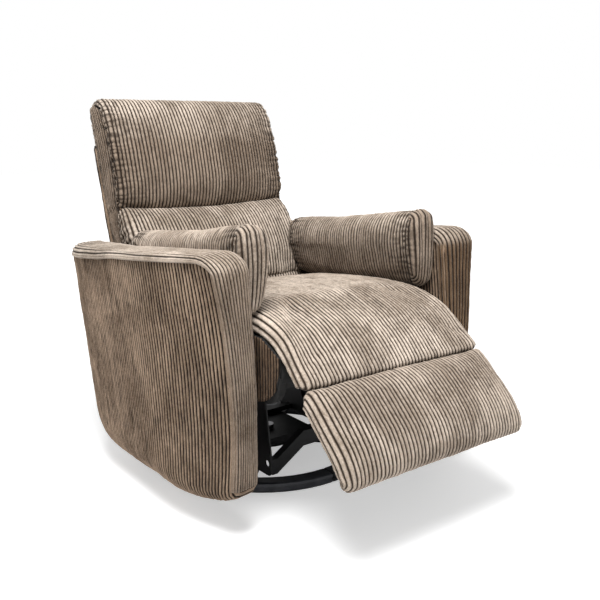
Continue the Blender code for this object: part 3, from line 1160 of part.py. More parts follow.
change(gearbox, cutter("inlet_bore", inlet_bore), 'DIFFERENCE')
motor_start = GEARBOX_HALF_WIDTH + FACE_GAP
motor_end = motor_start + MOTOR_LENGTH
add("motor", turned([(0.0, motor_start), (MOTOR_RADIUS, motor_start), (MOTOR_RADIUS, motor_end - MOTOR_CHAMFER),
                     (MOTOR_RADIUS - MOTOR_CHAMFER, motor_end), (0.0, motor_end)],
                    about_x((gearbox_front + gearbox_rear) / 2, MOTOR_Z)), BLACK_STEEL, glide)

# Back: hinge brackets with their pins in the seat rails
back = axis_empty("back_axis", (0.0, BACK_HINGE_Y, BACK_HINGE_Z))
bracket_outer_x = SEAT_RAIL_INNER_X - BACK_BRACKET_SIDE_GAP
bracket_inner_x = bracket_outer_x - BACK_BRACKET_THICKNESS
post_rear = BACK_POST_FRONT - BACK_POST_DEPTH
strap_front, strap_rear = BACK_POST_FRONT - CUT_OVERRUN, post_rear + CUT_OVERRUN
bracket_outline = (arc(0.0, 0.0, BACK_BRACKET_EYE_RADIUS, 240.0, 40.0, LINK_STEPS)
                   + [(BACK_POST_START, strap_front), (BACK_BRACKET_LENGTH, strap_front),
                      (BACK_BRACKET_LENGTH, strap_rear), (BACK_POST_START, strap_rear)])
for hand, side in (("left", 1), ("right", -1)):
    name = "back_bracket_" + hand
    low, high = sorted((side * bracket_inner_x, side * bracket_outer_x))
    bracket = add(name, prism(bracket_outline, on_back, low, high), BLACK_STEEL, back)
    pin_start = (bracket_inner_x + bracket_outer_x) / 2
    pin_head = rail_outer_x + RUNNING_GAP
    profile = [(0.0, pin_start), (BACK_PIN_RADIUS, pin_start), (BACK_PIN_RADIUS, pin_head),
               (BACK_PIN_HEAD_RADIUS, pin_head), (BACK_PIN_HEAD_RADIUS, pin_head + BACK_PIN_HEAD_HEIGHT),
               (0.0, pin_head + BACK_PIN_HEAD_HEIGHT)]
    pin = turned(profile, mirrored(about_x(BACK_HINGE_Y, BACK_HINGE_Z), side))
    change(bracket, cutter(name + "_pin", pin), 'UNION')
    # Wooden post inside the bracket, and the padded wing outside it
    post_outer = bracket_inner_x - FACE_GAP
    low, high = sorted((side * (post_outer - BACK_POST_THICKNESS), side * post_outer))
    add("back_post_" + hand, prism(rectangle(BACK_POST_START, BACK_POST_END, post_rear, BACK_POST_FRONT),
                                   on_back, low, high), PINE, back)
    low, high = sorted((side * BACK_WING_INNER_X, side * BACK_HALF))
    wing_rear = BACK_PANEL_FRONT + FACE_GAP
    wing = rectangle(BACK_WING_START, BACK_WING_END, wing_rear, BACK_WING_FRONT, BACK_WING_ROUND)
    add("back_wing_" + hand, prism(wing, on_back, low, high), CORDUROY_DARK, back)

# Two rails between the posts
rail_half = bracket_inner_x - FACE_GAP - BACK_POST_THICKNESS - FACE_GAP
rail_middle = BACK_POST_FRONT - BACK_POST_DEPTH / 2
for name, start in (("back_rail_top", BACK_POST_END - BACK_RAIL_HEIGHT),
                    ("back_rail_lower", BACK_LOWER_RAIL_START)):
    outline = rectangle(start, start + BACK_RAIL_HEIGHT, rail_middle - BACK_RAIL_DEPTH / 2,
                        rail_middle + BACK_RAIL_DEPTH / 2)
    add(name, prism(outline, on_back, -rail_half, rail_half), PINE, back)

# Outside panel of the back, a thin crowned pad
panel_rear = BACK_PANEL_FRONT - BACK_PANEL_DEPTH
panel_middle = (BACK_PANEL_START + BACK_PANEL_END) / 2
panel_corners = [(BACK_PANEL_START, BACK_PANEL_FRONT, 0.0),
                 (BACK_PANEL_START, panel_rear, BACK_PANEL_ROUND),
                 (panel_middle, panel_rear - BACK_PANEL_CROWN, BACK_PANEL_ROUND),
                 (BACK_PANEL_END, panel_rear, BACK_PANEL_ROUND),
                 (BACK_PANEL_END, BACK_PANEL_FRONT, 0.0)]
panel_swells = [1.0 if n < panel_rear + BACK_PANEL_ROUND else 0.0 for s, n in rounded(panel_corners)]
add("back_outside_panel", padded(lambda x: panel_corners, panel_swells, on_back, BACK_HALF,
                                 BACK_PANEL_ROUND, -BACK_PANEL_CROWN, 0.0), CORDUROY_DARK, back)

# Lumbar cushion: fullest at the hips, drawn in at the cross seam
lumbar_corners = [(LUMBAR_BOTTOM, LUMBAR_REAR, 0.0),
                  (LUMBAR_BOTTOM, LUMBAR_HIP_DEPTH / 2, HEAD_ROUND / 2),
                  (LUMBAR_HIP, LUMBAR_HIP_DEPTH, HEAD_ROUND),
                  (LUMBAR_MIDDLE, LUMBAR_MIDDLE_DEPTH, HEAD_ROUND),
                  (LUMBAR_SHOULDER, LUMBAR_SHOULDER_DEPTH, HEAD_ROUND),
                  (LUMBAR_TOP, LUMBAR_TOP_DEPTH, HEAD_ROUND / 4), (LUMBAR_TOP, LUMBAR_REAR, 0.0)]
lumbar_swells = [1.0 if n > LUMBAR_TOP_DEPTH and s > LUMBAR_HIP else 0.0 for s, n in rounded(lumbar_corners)]
add("lumbar_cushion", padded(lambda x: lumbar_corners, lumbar_swells, on_back, BACK_PAD_HALF, BACK_PAD_EDGE,
                             BACK_PAD_CROWN, BACK_PAD_DRAW), CORDUROY, back)


# Head pillow: hooked over the frame in the middle, full depth at its two sides


def head_corners(x):
    """The corners of its profile: a pocket takes the frame's top between the two sides."""
    inside = abs(x) < BACK_WING_INNER_X
    pocket_front = LUMBAR_REAR if inside else HEAD_REAR
    pocket_top = HEAD_POCKET_TOP if inside else (HEAD_POCKET_TOP + HEAD_BOTTOM) / 2
    return [(HEAD_BOTTOM, pocket_front, 0.0), (HEAD_BOTTOM, HEAD_BOTTOM_DEPTH, HEAD_ROUND / 4),
            (HEAD_LOWER, HEAD_LOWER_DEPTH, HEAD_ROUND), (HEAD_UPPER, HEAD_UPPER_DEPTH, HEAD_ROUND),
            (HEAD_TOP, HEAD_TOP_DEPTH, HEAD_ROUND), (HEAD_CREST_REAR, HEAD_REAR, HEAD_ROUND),
            (HEAD_POCKET_TOP, HEAD_REAR, 0.0), (pocket_top, pocket_front, 0.0)]


head_swells = [1.0 if n > LUMBAR_REAR and s > HEAD_LOWER - HEAD_ROUND else 0.0
               for s, n in rounded(head_corners(0.0))]
head_rows = sorted(PAD_ROWS_SHARES + tuple(
    sign * (BACK_WING_INNER_X + shift) / (BACK_PAD_HALF - BACK_PAD_EDGE)
    for sign in (-1, 1) for shift in (-FACE_GAP, FACE_GAP)))
add("head_pillow", padded(head_corners, head_swells, on_back, BACK_PAD_HALF, BACK_PAD_EDGE, BACK_PAD_CROWN,
                          BACK_PAD_DRAW, head_rows), CORDUROY, back)

# Slide the whole chair along Y, so that its origin is the middle of its footprint
reach = []
for piece in bpy.data.objects:
    if piece.type == 'MESH' and not piece.hide_render:
        reach += [vert.co.y for vert in piece.data.vertices]
chair.location.y = -(min(reach) + max(reach)) / 2
print("swivel axis at y = %.6f" % chair.location.y)
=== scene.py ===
import json
from math import cos, exp, pi, radians, sin

import bmesh
import bpy
import numpy as np
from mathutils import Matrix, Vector, noise


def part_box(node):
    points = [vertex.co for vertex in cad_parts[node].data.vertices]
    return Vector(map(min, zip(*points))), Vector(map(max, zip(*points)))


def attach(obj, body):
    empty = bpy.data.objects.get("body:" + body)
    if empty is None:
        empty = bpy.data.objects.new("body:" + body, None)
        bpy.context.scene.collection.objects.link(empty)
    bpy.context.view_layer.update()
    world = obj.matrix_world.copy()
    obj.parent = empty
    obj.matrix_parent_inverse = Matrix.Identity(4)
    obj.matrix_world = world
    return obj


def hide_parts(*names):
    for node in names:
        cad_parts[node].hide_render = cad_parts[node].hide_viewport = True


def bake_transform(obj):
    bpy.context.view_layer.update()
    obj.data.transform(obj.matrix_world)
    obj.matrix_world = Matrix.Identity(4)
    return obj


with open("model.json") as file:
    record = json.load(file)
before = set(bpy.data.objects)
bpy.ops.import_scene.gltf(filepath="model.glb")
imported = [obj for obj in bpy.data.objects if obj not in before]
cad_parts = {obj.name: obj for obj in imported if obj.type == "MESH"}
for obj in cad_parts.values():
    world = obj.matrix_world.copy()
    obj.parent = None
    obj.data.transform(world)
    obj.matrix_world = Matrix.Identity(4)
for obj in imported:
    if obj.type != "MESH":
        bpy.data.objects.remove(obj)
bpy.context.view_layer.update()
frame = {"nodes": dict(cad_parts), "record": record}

# Camera: the photograph was taken at seat height, from the front and the sitter's right.
# It looks slightly down on the chair through a normal lens.
scene = bpy.context.scene
CAMERA_DOWN = 12.465
CAMERA_TURN = -37.7
view = bpy.data.cameras.new("photo_camera")
view.sensor_width = 36.0
view.lens = 46.92
view.shift_x = -0.0245
view.shift_y = -0.0027
camera = bpy.data.objects.new("photo_camera", view)
camera.location = (-1.233, -1.716537, 0.940)
camera.rotation_euler = (radians(90 - CAMERA_DOWN), 0.0, radians(CAMERA_TURN))
scene.collection.objects.link(camera)
scene.camera = camera
scene.view_settings.view_transform = 'Standard'

# Studio: a pale floor that keeps the chair's shadow and glows away from it, a white room, and soft
# lamps. The main one hangs overhead and to the front, and weaker ones stand at both sides.
WHITE = (1.0, 1.0, 1.0, 1.0)
FLOOR_COLOUR = (0.86, 0.86, 0.86, 1.0)
FLOOR_ENDS = (-14.0, 14.0)
FLOOR_DROP = 0.0015
GLOW_REACH = (1.2, 3.5)
GLOW = (0.46, 0.90)
ROOM_LIGHT = 0.40


def empty_tree(owner):
    """Clear a material's or the room's nodes, and give functions that link two and add one."""
    owner.use_nodes = True
    tree = owner.node_tree
    tree.nodes.clear()

    def node(kind, **settings):
        made = tree.nodes.new(kind)
        for key, value in settings.items():
            if key in made.inputs:
                made.inputs[key].default_value = value
            else:
                setattr(made, key, value)
        return made
    return tree.links.new, node


def nodes_of(name):
    """A new material, and functions that link its nodes and add one."""
    material = bpy.data.materials.new(name)
    return material, *empty_tree(material)


def spread(link, node, source, low, high, to_low=0.0, to_high=1.0, **settings):
    """A node's value moved from one range to another."""
    made = node('ShaderNodeMapRange', **settings,
                **{"From Min": low, "From Max": high, "To Min": to_low, "To Max": to_high})
    link(source, made.inputs["Value"])
    return made.outputs["Result"]


def grid_object(name, points):
    """A sheet of quads over a grid of points."""
    rows, columns = points.shape[:2]
    bm = bmesh.new()
    bmesh.ops.create_grid(bm, x_segments=columns - 1, y_segments=rows - 1, size=1.0)
    mesh = bpy.data.meshes.new(name)
    bm.to_mesh(mesh)
    bm.free()
    mesh.vertices.foreach_set("co", points.reshape(-1).astype(np.float32))
    mesh.update()
    piece = bpy.data.objects.new(name, mesh)
    scene.collection.objects.link(piece)
    return piece


floor_finish, link, node = nodes_of("studio_floor")
lit = node('ShaderNodeBsdfDiffuse', Color=FLOOR_COLOUR)
away = node('ShaderNodeVectorMath', operation='LENGTH')
link(node('ShaderNodeTexCoord').outputs["Object"], away.inputs[0])
glow = node('ShaderNodeEmission', Color=WHITE)
link(spread(link, node, away.outputs["Value"], *GLOW_REACH, *GLOW), glow.inputs["Strength"])
both = node('ShaderNodeAddShader')
link(lit.outputs[0], both.inputs[0])
link(glow.outputs[0], both.inputs[1])
choose = node('ShaderNodeMixShader')
link(node('ShaderNodeLightPath').outputs["Is Camera Ray"], choose.inputs[0])
link(lit.outputs[0], choose.inputs[1])
link(both.outputs[0], choose.inputs[2])
link(choose.outputs[0], node('ShaderNodeOutputMaterial').inputs["Surface"])
floor = grid_object("studio_floor", np.array([[(x, y, 0.0) for x in FLOOR_ENDS] for y in FLOOR_ENDS]))
floor.data.materials.append(floor_finish)
floor.location = (0.0, 0.0, -FLOOR_DROP)

room = bpy.data.worlds.new("studio_room")
scene.world = room
link, node = empty_tree(room)
ray = node('ShaderNodeLightPath')
seen = node('ShaderNodeMath', operation='MAXIMUM')
link(ray.outputs["Is Camera Ray"], seen.inputs[0])
link(ray.outputs["Is Transmission Ray"], seen.inputs[1])
shade = node('ShaderNodeBackground', Color=WHITE)
link(spread(link, node, seen.outputs[0], 0.0, 1.0, ROOM_LIGHT), shade.inputs["Strength"])
link(shade.outputs[0], node('ShaderNodeOutputWorld').inputs["Surface"])


def lamp(name, place, target, power, size):
    """A soft square lamp aimed at a point."""
    data = bpy.data.lights.new(name, 'AREA')
    data.energy = power
    data.size = size
    made = bpy.data.objects.new(name, data)
    made.location = place
    aim = Vector(target) - Vector(place)
    made.rotation_euler = aim.to_track_quat('-Z', 'Y').to_euler()
    scene.collection.objects.link(made)


lamp("lamp_overhead", (-0.9, -1.05, 3.0), (0.0, 0.0, 0.4), power=110.0, size=1.2)
lamp("lamp_front", (-2.8, -2.2, 1.5), (0.0, -0.2, 0.5), power=13.0, size=1.0)
lamp("lamp_far", (2.4, -1.8, 1.6), (0.0, -0.2, 0.5), power=5.0, size=1.2)

# Corduroy: the wide-wale cloth of the whole cover, brown-grey, with a soft brushed pile.
# Each wale is a rounded rib between two narrow grooves; the pile lies lighter and darker in patches.
# Painted light and shade: the grooves between the wales are painted dark, and a tone on each point darkens or
# lightens whole pieces and rows.
SHEEN_TINT = (0.93, 0.86, 0.78, 1.0)
# Painted shade: the tone at which the cloth reaches its darkest painted tint, and that browner tint.
PAINTED_SHADE_TONE = 0.4
PAINTED_SHADE_TINT = (0.42, 0.365, 0.315, 1.0)


def coat(link, node, colour, bump=None, **settings):
    """The surface of a material: its colour, its bumps and its other settings."""
    shader = node('ShaderNodeBsdfPrincipled', **settings)
    link(colour, shader.inputs["Base Color"])
    if bump:
        link(bump.outputs["Normal"], shader.inputs["Normal"])
    link(shader.outputs[0], node('ShaderNodeOutputMaterial').inputs["Surface"])
    return shader


def two_tone(node, low, high, low_at=0.0, high_at=1.0):
    """A node that goes from one colour to another between two places."""
    made = node('ShaderNodeValToRGB')
    for end, at, colour in zip(made.color_ramp.elements, (low_at, high_at), (low, high)):
        end.position = at
        end.color = (*colour, 1.0)
    return made


def corduroy_finish(name, light, dark, painted_groove_shade, reach, sheen):
    """The cloth's material: light and dark pile, the painted shade of the grooves and the heights it reaches,
    and the painted light and shade of the tone.
    """
    material, link, node = nodes_of(name)
    cloth = node('ShaderNodeUVMap', uv_map="cloth")

    def cloth_noise(across, along, detail, roughness):
        place = node('ShaderNodeMapping', Scale=(across, along, 1.0))
        link(cloth.outputs[0], place.inputs["Vector"])
        made = node('ShaderNodeTexNoise', Scale=1.0, Detail=detail, Roughness=roughness)
        link(place.outputs[0], made.inputs["Vector"])
        return made.outputs["Fac"]

    def total(a, b):
        made = node('ShaderNodeMath', operation='ADD')
        link(a, made.inputs[0])
        link(b, made.inputs[1])
        return made.outputs[0]

    nap = node('ShaderNodeTexNoise', Scale=7.0, Detail=3.0, Roughness=0.55, Distortion=0.6)
    link(node('ShaderNodeTexCoord').outputs["Object"], nap.inputs["Vector"])
    brushed = total(spread(link, node, nap.outputs["Fac"], 0.40, 0.61, 0.0, 0.54),
                    spread(link, node, cloth_noise(70.0, 9.0, 2.0, 0.6), 0.3, 0.7, -0.08, 0.26))
    grain = total(spread(link, node, cloth_noise(900.0, 420.0, 3.0, 0.7), 0.3, 0.7, -0.12, 0.22),
                  spread(link, node, cloth_noise(330.0, 120.0, 2.0, 0.8), 0.3, 0.7, -0.22, 0.42))
    pile = node('ShaderNodeMix', data_type='RGBA', A=(*dark, 1.0), B=(*light, 1.0))
    link(total(brushed, grain), pile.inputs["Factor"])
    # Painted shade in the grooves: low on the wale, the colour turns to the groove's dark colour.
    height = two_tone(node, (0.0, 0.0, 0.0), (1.0, 1.0, 1.0), *reach)
    height.color_ramp.interpolation = 'EASE'
    link(node('ShaderNodeAttribute', attribute_name="wale").outputs["Fac"], height.inputs["Fac"])
    colour = node('ShaderNodeMix', data_type='RGBA', A=(*painted_groove_shade, 1.0))
    link(height.outputs["Color"], colour.inputs["Factor"])
    link(pile.outputs["Result"], colour.inputs["B"])
    # Painted light and shade: a tone below 1 darkens and browns the colour, and a tone above 1 lightens it.
    tone = node('ShaderNodeAttribute', attribute_name="tone")
    tint = node('ShaderNodeMix', data_type='RGBA', clamp_factor=False, A=PAINTED_SHADE_TINT, B=WHITE)
    link(spread(link, node, tone.outputs["Fac"], PAINTED_SHADE_TONE, 1.0, clamp=False), tint.inputs["Factor"])
    toned = node('ShaderNodeVectorMath', operation='MULTIPLY')
    link(colour.outputs["Result"], toned.inputs[0])
    link(tint.outputs["Result"], toned.inputs[1])
    bump = node('ShaderNodeBump', Strength=0.7, Distance=0.0016)
    link(grain, bump.inputs["Height"])
    coat(link, node, toned.outputs[0], bump, Roughness=0.88, **{
        "Specular IOR Level": 0.18, "Sheen Weight": sheen, "Sheen Roughness": 0.38, "Sheen Tint": SHEEN_TINT})
    return material


# A lit copy of the cloth for the cushions and bands. A copy with painted shade, darker, browner and with less
# sheen, serves the sides, arms, seam strip and the back's outside.
painted_lit_cloth = corduroy_finish("corduroy_painted_lit", light=(0.69, 0.584, 0.488), dark=(0.280, 0.219, 0.167),
                            painted_groove_shade=(0.036, 0.024, 0.016), reach=(0.34, 1.0), sheen=0.30)
painted_shade_cloth = corduroy_finish("corduroy_painted_shade", light=(0.43, 0.312, 0.222), dark=(0.165, 0.112, 0.074),
                             painted_groove_shade=(0.010, 0.006, 0.004), reach=(0.48, 1.0), sheen=0.10)


def plain_cloth(name, dark, light):
    """A flat woven cloth with a fine speckle."""
    material, link, node = nodes_of(name)
    speck = node('ShaderNodeTexNoise', Scale=700.0)
    link(node('ShaderNodeTexCoord').outputs["Object"], speck.inputs["Vector"])
    tone = two_tone(node, dark, light)
    link(speck.outputs["Fac"], tone.inputs["Fac"])
    coat(link, node, tone.outputs["Color"], Roughness=0.9)
    return material


lining = plain_cloth("black_lining_cloth", (0.006, 0.006, 0.006), (0.022, 0.021, 0.020))
backing = plain_cloth("brown_backing_cloth", (0.085, 0.062, 0.045), (0.19, 0.145, 0.110))


def between(values, at):
    """Smooth values between the given ones, at fractional places along the first axis."""
    slope = np.gradient(values, axis=0)
    k = np.clip(at.astype(int), 0, len(values) - 2)
    s = (at - k).reshape((-1,) + (1,) * (values.ndim - 1))
    return ((2 * s ** 3 - 3 * s ** 2 + 1) * values[k] + (s ** 3 - 2 * s ** 2 + s) * slope[k]
            + (3 * s ** 2 - 2 * s ** 3) * values[k + 1] + (s ** 3 - s ** 2) * slope[k + 1])


def run_of(line):
    """How far along a line each of its points lies."""
    return np.concatenate([[0.0], np.cumsum(np.linalg.norm(np.diff(line, axis=0), axis=1))])


def evenly(points, count):
    """The same line cut into so many equal lengths."""
    points = np.asarray(points, float)
    run = run_of(points)
    at = np.linspace(0.0, run[-1], count + 1)
    return np.stack([np.interp(at, run, points[:, k]) for k in range(points.shape[1])], axis=1)


def smooth_line(points, step, curve_steps=40, chord_steps=60):
    """A smooth line through the points, cut into equal lengths of about a step."""
    points = np.asarray(points, float)
    curve = between(points, np.linspace(0, len(points) - 1, curve_steps * len(points)))
    dense = evenly(curve, chord_steps * len(points))
    return evenly(dense, max(2, round(run_of(dense)[-1] / step)))


def unit(vectors):
    """The same directions with a length of 1."""
    return vectors / np.maximum(np.linalg.norm(vectors, axis=-1, keepdims=True), 1e-12)


def faces_in(points, inside):
    """Whether the grid's faces look towards a point inside the piece."""
    normal = np.cross(np.gradient(points, axis=1), np.gradient(points, axis=0))
    return (normal * (points - np.asarray(inside, float))).sum() < 0


SWELL_PRESSURE = 4.0
SWELL_FRAMES = 20
SMOOTHINGS = 3


def inflate(points, held, cap, slack):
    """Let the cloth swell like a stuffed cover.

    held is 1 where a seam holds it, cap is how far it may go, and slack how much larger it is cut.
    """
    piece = grid_object("swelling", points)
    group = piece.vertex_groups.new(name="held")
    for index, weight in enumerate(held.reshape(-1)):
        group.add([index], float(weight), 'REPLACE')
    settings = piece.modifiers.new("swelling", 'CLOTH').settings
    settings.quality = 6
    settings.mass = 0.3
    settings.tension_stiffness = settings.compression_stiffness = 18.0
    settings.shear_stiffness = 8.0
    settings.bending_stiffness = 0.6
    settings.shrink_min = -slack
    settings.use_pressure = True
    settings.uniform_pressure_force = SWELL_PRESSURE
    settings.vertex_group_mass = "held"
    settings.effector_weights.gravity = 0.0
    for frame_number in range(1, SWELL_FRAMES + 1):
        scene.frame_set(frame_number)
    swollen = piece.evaluated_get(bpy.context.evaluated_depsgraph_get()).to_mesh()
    flat = np.empty(points.size, np.float32)
    swollen.vertices.foreach_get("co", flat)
    mesh = piece.data
    bpy.data.objects.remove(piece, do_unlink=True)
    bpy.data.meshes.remove(mesh)
    scene.frame_set(1)
    move = flat.reshape(points.shape).astype(float) - points
    for turn in range(SMOOTHINGS):
        for axis in (0, 1):
            wide = np.pad(move, [(1, 1) if k == axis else (0, 0) for k in range(3)], 'edge')
            ahead, behind = (np.take(wide, range(k, k + move.shape[axis]), axis) for k in (2, 0))
            move = (ahead + behind + 2 * move) / 4
    move *= 1 - held[:, :, None]
    length = np.linalg.norm(move, axis=2, keepdims=True)
    return points + move * np.minimum(1.0, cap / np.maximum(length, 1e-9))


def slopes(points, axis, closed):
    """How the grid changes along an axis, round its join where it closes on itself."""
    if not closed:
        return np.gradient(points, axis=axis)
    ends = np.take(points, [-2], axis), np.take(points, [1], axis)
    whole = np.gradient(np.concatenate([ends[0], points, ends[1]], axis), axis=axis)
    return np.take(whole, range(1, points.shape[axis] + 1), axis)


def dress(mesh, finish, lift, painted_light_and_shade, across, run):
    """Give a grid's mesh its cloth: each point's height on the wale, tone of painted light and shade, and
    place in metres.
    """
    mesh.materials.append(finish)
    for key, values in (("wale", lift), ("tone", np.repeat(painted_light_and_shade, len(across)))):
        flat = values.reshape(-1).astype(np.float32)
        mesh.attributes.new(key, 'FLOAT', 'POINT').data.foreach_set("value", flat)
    corner = np.empty(len(mesh.loops), np.int32)
    mesh.loops.foreach_get("vertex_index", corner)
    place = np.stack(np.meshgrid(across, run), axis=2).reshape(-1, 2)[corner]
    mesh.uv_layers.new(name="cloth").data.foreach_set("uv", place.reshape(-1).astype(np.float32))


# The rib's section over one wale, then how unevenly the cloth lies: each kind has a size, rates across
# and along the wales (tucks and pulls: along and away from the seam) and a seed of its own.
WALE = 0.0108
WALE_STEPS = (0.0, 0.09, 0.20, 0.35, 0.50, 0.65, 0.80, 0.91)
WALE_RISE = (0.0, 0.36, 0.72, 0.95, 1.0, 0.95, 0.72, 0.36)
WALE_HEIGHT = 0.0047
WALE_SINK = 0.0020
FLAT_RISE = 0.1
MOST_RISE = 1.25
RIB_SHORT, RIB_LONG = (0.20, 1.7, 60.0, 0), (0.16, 0.9, 11.0, 3)
PILE_NICKS = (0.16, 2.3, 170.0, 9)
SWAY, WOBBLE = (0.0013, 0.35, 13.0, 5), (0.0004, 1.1, 90.0, 6)
RUMPLE = (0.0016, 0.11, 9.0, 7)
TUCKS, PULLS = (1.6, 75.0, 9.0, 11), (1.1, 25.0, 12.0, 13)
TUCK_START = 0.4 / 9.0
TUCK_RANGE = (-1.0, 0.4)
PULL_STEP = 0.017
PULL_FLAT, PULL_FLATTER = 0.2, 0.75
SEAM_REACHES = 3
SEAM_WELD = 0.0004


def uneven(kind, across, along, seed):
    """Smooth noise of one kind at a place of the cloth."""
    size, across_rate, along_rate, own_seed = kind
    return size * noise.noise(Vector((across * across_rate, along * along_rate, (seed + own_seed) * 7.31)))


def corduroy(name, points, inside, finish, body, ribbed=None, closed=None, held=None, cap=0.010, slack=0.0,
             fade=(0, 0), finer=2, wall=0.0, pucker=0.0, pucker_reach=0.022, crumple=1.0, tone=1.0, seed=1):
    """A piece of corduroy over a coarse grid with one column to each wale, fixed to a body.

    ribbed says which columns carry a wale; the others are lining. closed is the axis that joins up.
    held is 1 where a seam holds the swelling cloth. fade is how many rows the wales need to rise from
    each end, pucker the depth of the gathers along the first and last wale, crumple how wavy the cloth
    lies, wall the thickness of an open piece, and tone the painted light and shade, row by row.
    """
    rows, columns = points.shape[:2]
    ribbed = np.ones(columns - 1, bool) if ribbed is None else np.asarray(ribbed)
    if faces_in(points, inside):
        points, ribbed = points[:, ::-1], ribbed[::-1]
        held = None if held is None else held[:, ::-1]
    if held is not None:
        points = inflate(points, held, cap, slack)
    across, rise = [], []
    for k in range(columns - 1):
        across += [k + step for step in (WALE_STEPS if ribbed[k] else (0.0,))]
        rise += WALE_RISE if ribbed[k] else (FLAT_RISE,)
    across, rise = np.array(across + [columns - 1]), np.array(rise + rise[:1])
    along = np.linspace(0, rows - 1, (rows - 1) * finer + 1)
    fine = between(points, along)
    fine = between(fine.swapaxes(0, 1), across).swapaxes(0, 1)
    if closed is not None:
        ends = np.moveaxis(fine, closed, 0)
        ends[0] = ends[-1] = (ends[0] + ends[-1]) / 2
    du, dv = slopes(fine, 1, closed == 1), slopes(fine, 0, closed == 0)
    normal, side = unit(np.cross(du, dv)), unit(du)
    run = run_of(points[:, columns // 2] if closed == 0 else points.mean(axis=1))
    run = np.interp(along, np.arange(rows), run)
    near_end = np.ones(len(along))
    for rows_in, length in zip((along, rows - 1 - along), fade):
        if length:
            near_end = np.minimum(near_end, np.clip(rows_in / length, 0.0, 1.0))
    cloth_columns = np.flatnonzero(ribbed)
    from_seam = np.minimum(across - cloth_columns[0], cloth_columns[-1] + 1 - across) * WALE
    strength, drift, fold = (np.empty(fine.shape[:2]) for _ in range(3))
    for j, place in enumerate(run):
        place = min(place, run[-1] - place) if closed == 0 else place
        for i, k in enumerate(across):
            rib = int(k)
            strength[j, i] = (1 + uneven(RIB_SHORT, rib, place, seed) + uneven(RIB_LONG, rib, place, seed)
                              + uneven(PILE_NICKS, k, place, seed))
            drift[j, i] = crumple * uneven(SWAY, k, place, seed) + uneven(WOBBLE, k, place, seed)
            fold[j, i] = crumple * uneven(RUMPLE, k, place, seed)
            if pucker and from_seam[i] < SEAM_REACHES * pucker_reach:
                near = exp(-max(0.0, from_seam[i]) / pucker_reach)
                tuck = uneven(TUCKS, place, from_seam[i] + TUCK_START, seed)
                fold[j, i] += pucker * near * min(max(tuck, TUCK_RANGE[0]), TUCK_RANGE[1])
                pull = place / PULL_STEP + uneven(PULLS, place, from_seam[i], seed)
                pressed = PULL_FLAT + PULL_FLATTER * (0.5 + 0.5 * sin(2 * pi * pull)) ** 3
                strength[j, i] *= 1 - near * pressed
    lift = np.clip(strength * rise[None, :], 0.0, MOST_RISE) * near_end[:, None] ** 0.5
    back = fine - normal * (WALE_SINK + wall)
    fine = fine + side * drift[:, :, None] + normal * (WALE_HEIGHT * lift - WALE_SINK + fold)[:, :, None]
    lined = [0 if ribbed[min(int(k), columns - 2)] else 1 for k in across[:-1]]
    if wall:
        lined += [1] * (len(across) + 1)
        fine = np.concatenate([fine, back[:, ::-1], fine[:, :1]], axis=1)
        lift = np.concatenate([lift, 0 * lift, lift[:, :1]], axis=1)
        across = np.concatenate([across, across[::-1], across[:1]])
    piece = grid_object(name, fine)
    mesh = piece.data
    painted_light_and_shade = np.interp(along, np.arange(rows), np.broadcast_to(tone, rows))
    dress(mesh, finish, np.clip(lift, 0.0, 1.0), painted_light_and_shade, across * WALE, run)
    mesh.materials.append(lining)
    mesh.polygons.foreach_set("material_index", np.tile(np.array(lined, np.int32), len(along) - 1))
    bm = bmesh.new()
    bm.from_mesh(mesh)
    if closed is not None or wall:
        bmesh.ops.remove_doubles(bm, verts=[v for v in bm.verts if v.is_boundary], dist=SEAM_WELD)
    ends = bmesh.ops.holes_fill(bm, edges=[e for e in bm.edges if e.is_boundary], sides=0)
    for face in ends["faces"]:
        face.material_index = 1
    bm.to_mesh(mesh)
    bm.free()
    mesh.shade_smooth()
    if body:
        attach(piece, body)
    return piece


# Seat and chaise: one padded cover that runs from under the back, over the seat and its front edge,
# and down the leg rest to the cross seam. Its wales run front to back and turn over both sides.
# Here and below y is counted from the swivel's axis, which stands at HUB_Y.
HUB_Y = 0.108463
LEG_HINGE = (0.0, HUB_Y - 0.390, 0.366)
LEG_SLOPE = radians(43.0)
ROW = 0.0110
PAD_HALF = 0.2795
PAD_CORNER = 0.022
PAD_DEPTH = 0.034
PAD_TUCK = 0.018
PAD_SIDES = 4
PAD_TOP_WALES = round(2 * (PAD_HALF - PAD_CORNER) / WALE)
UNDER_COLUMNS = 8
UNDER_DROP = 0.001
UNDER_EDGE = 0.004
CORNER_SHARE = 0.9
SEAT_CROWN = 0.009
SEAT_SWELLS_TO = 0.020


def on_slope(x, u, n):
    """A place in the leg rest's own directions: u down the slope from the hinge, n square to it."""
    return np.stack([x + 0 * u, LEG_HINGE[1] - u * cos(LEG_SLOPE) - n * sin(LEG_SLOPE),
                     LEG_HINGE[2] - u * sin(LEG_SLOPE) + n * cos(LEG_SLOPE)], axis=-1)


def section(half, corner, depth, tuck, top_wales, side_wales, under):
    """A pad's closed section from underside to top and back: places across it, and depths below its top."""
    corner = min(corner, depth * CORNER_SHARE)
    arc = [(half - corner + corner * sin(t), corner * (1 - cos(t))) for t in np.linspace(0, pi / 2, 12)]
    side = evenly(arc + [(half, depth - UNDER_EDGE), (half - UNDER_EDGE, depth),
                         (half - tuck, depth + UNDER_DROP)], side_wales)
    top = np.linspace(-(half - corner), half - corner, top_wales + 1)
    below = np.linspace(half - tuck, -(half - tuck), under + 1)
    x = np.concatenate([-side[::-1, 0], top[1:-1], side[:, 0], below[1:]])
    d = np.concatenate([side[::-1, 1], 0 * top[1:-1], side[:, 1], 0 * below[1:] + depth + UNDER_DROP])
    return x, d


def pad_ribs(top_wales, side_wales, under):
    """Which columns of a section carry a wale."""
    return np.array([True] * (2 * side_wales + top_wales) + [False] * under)


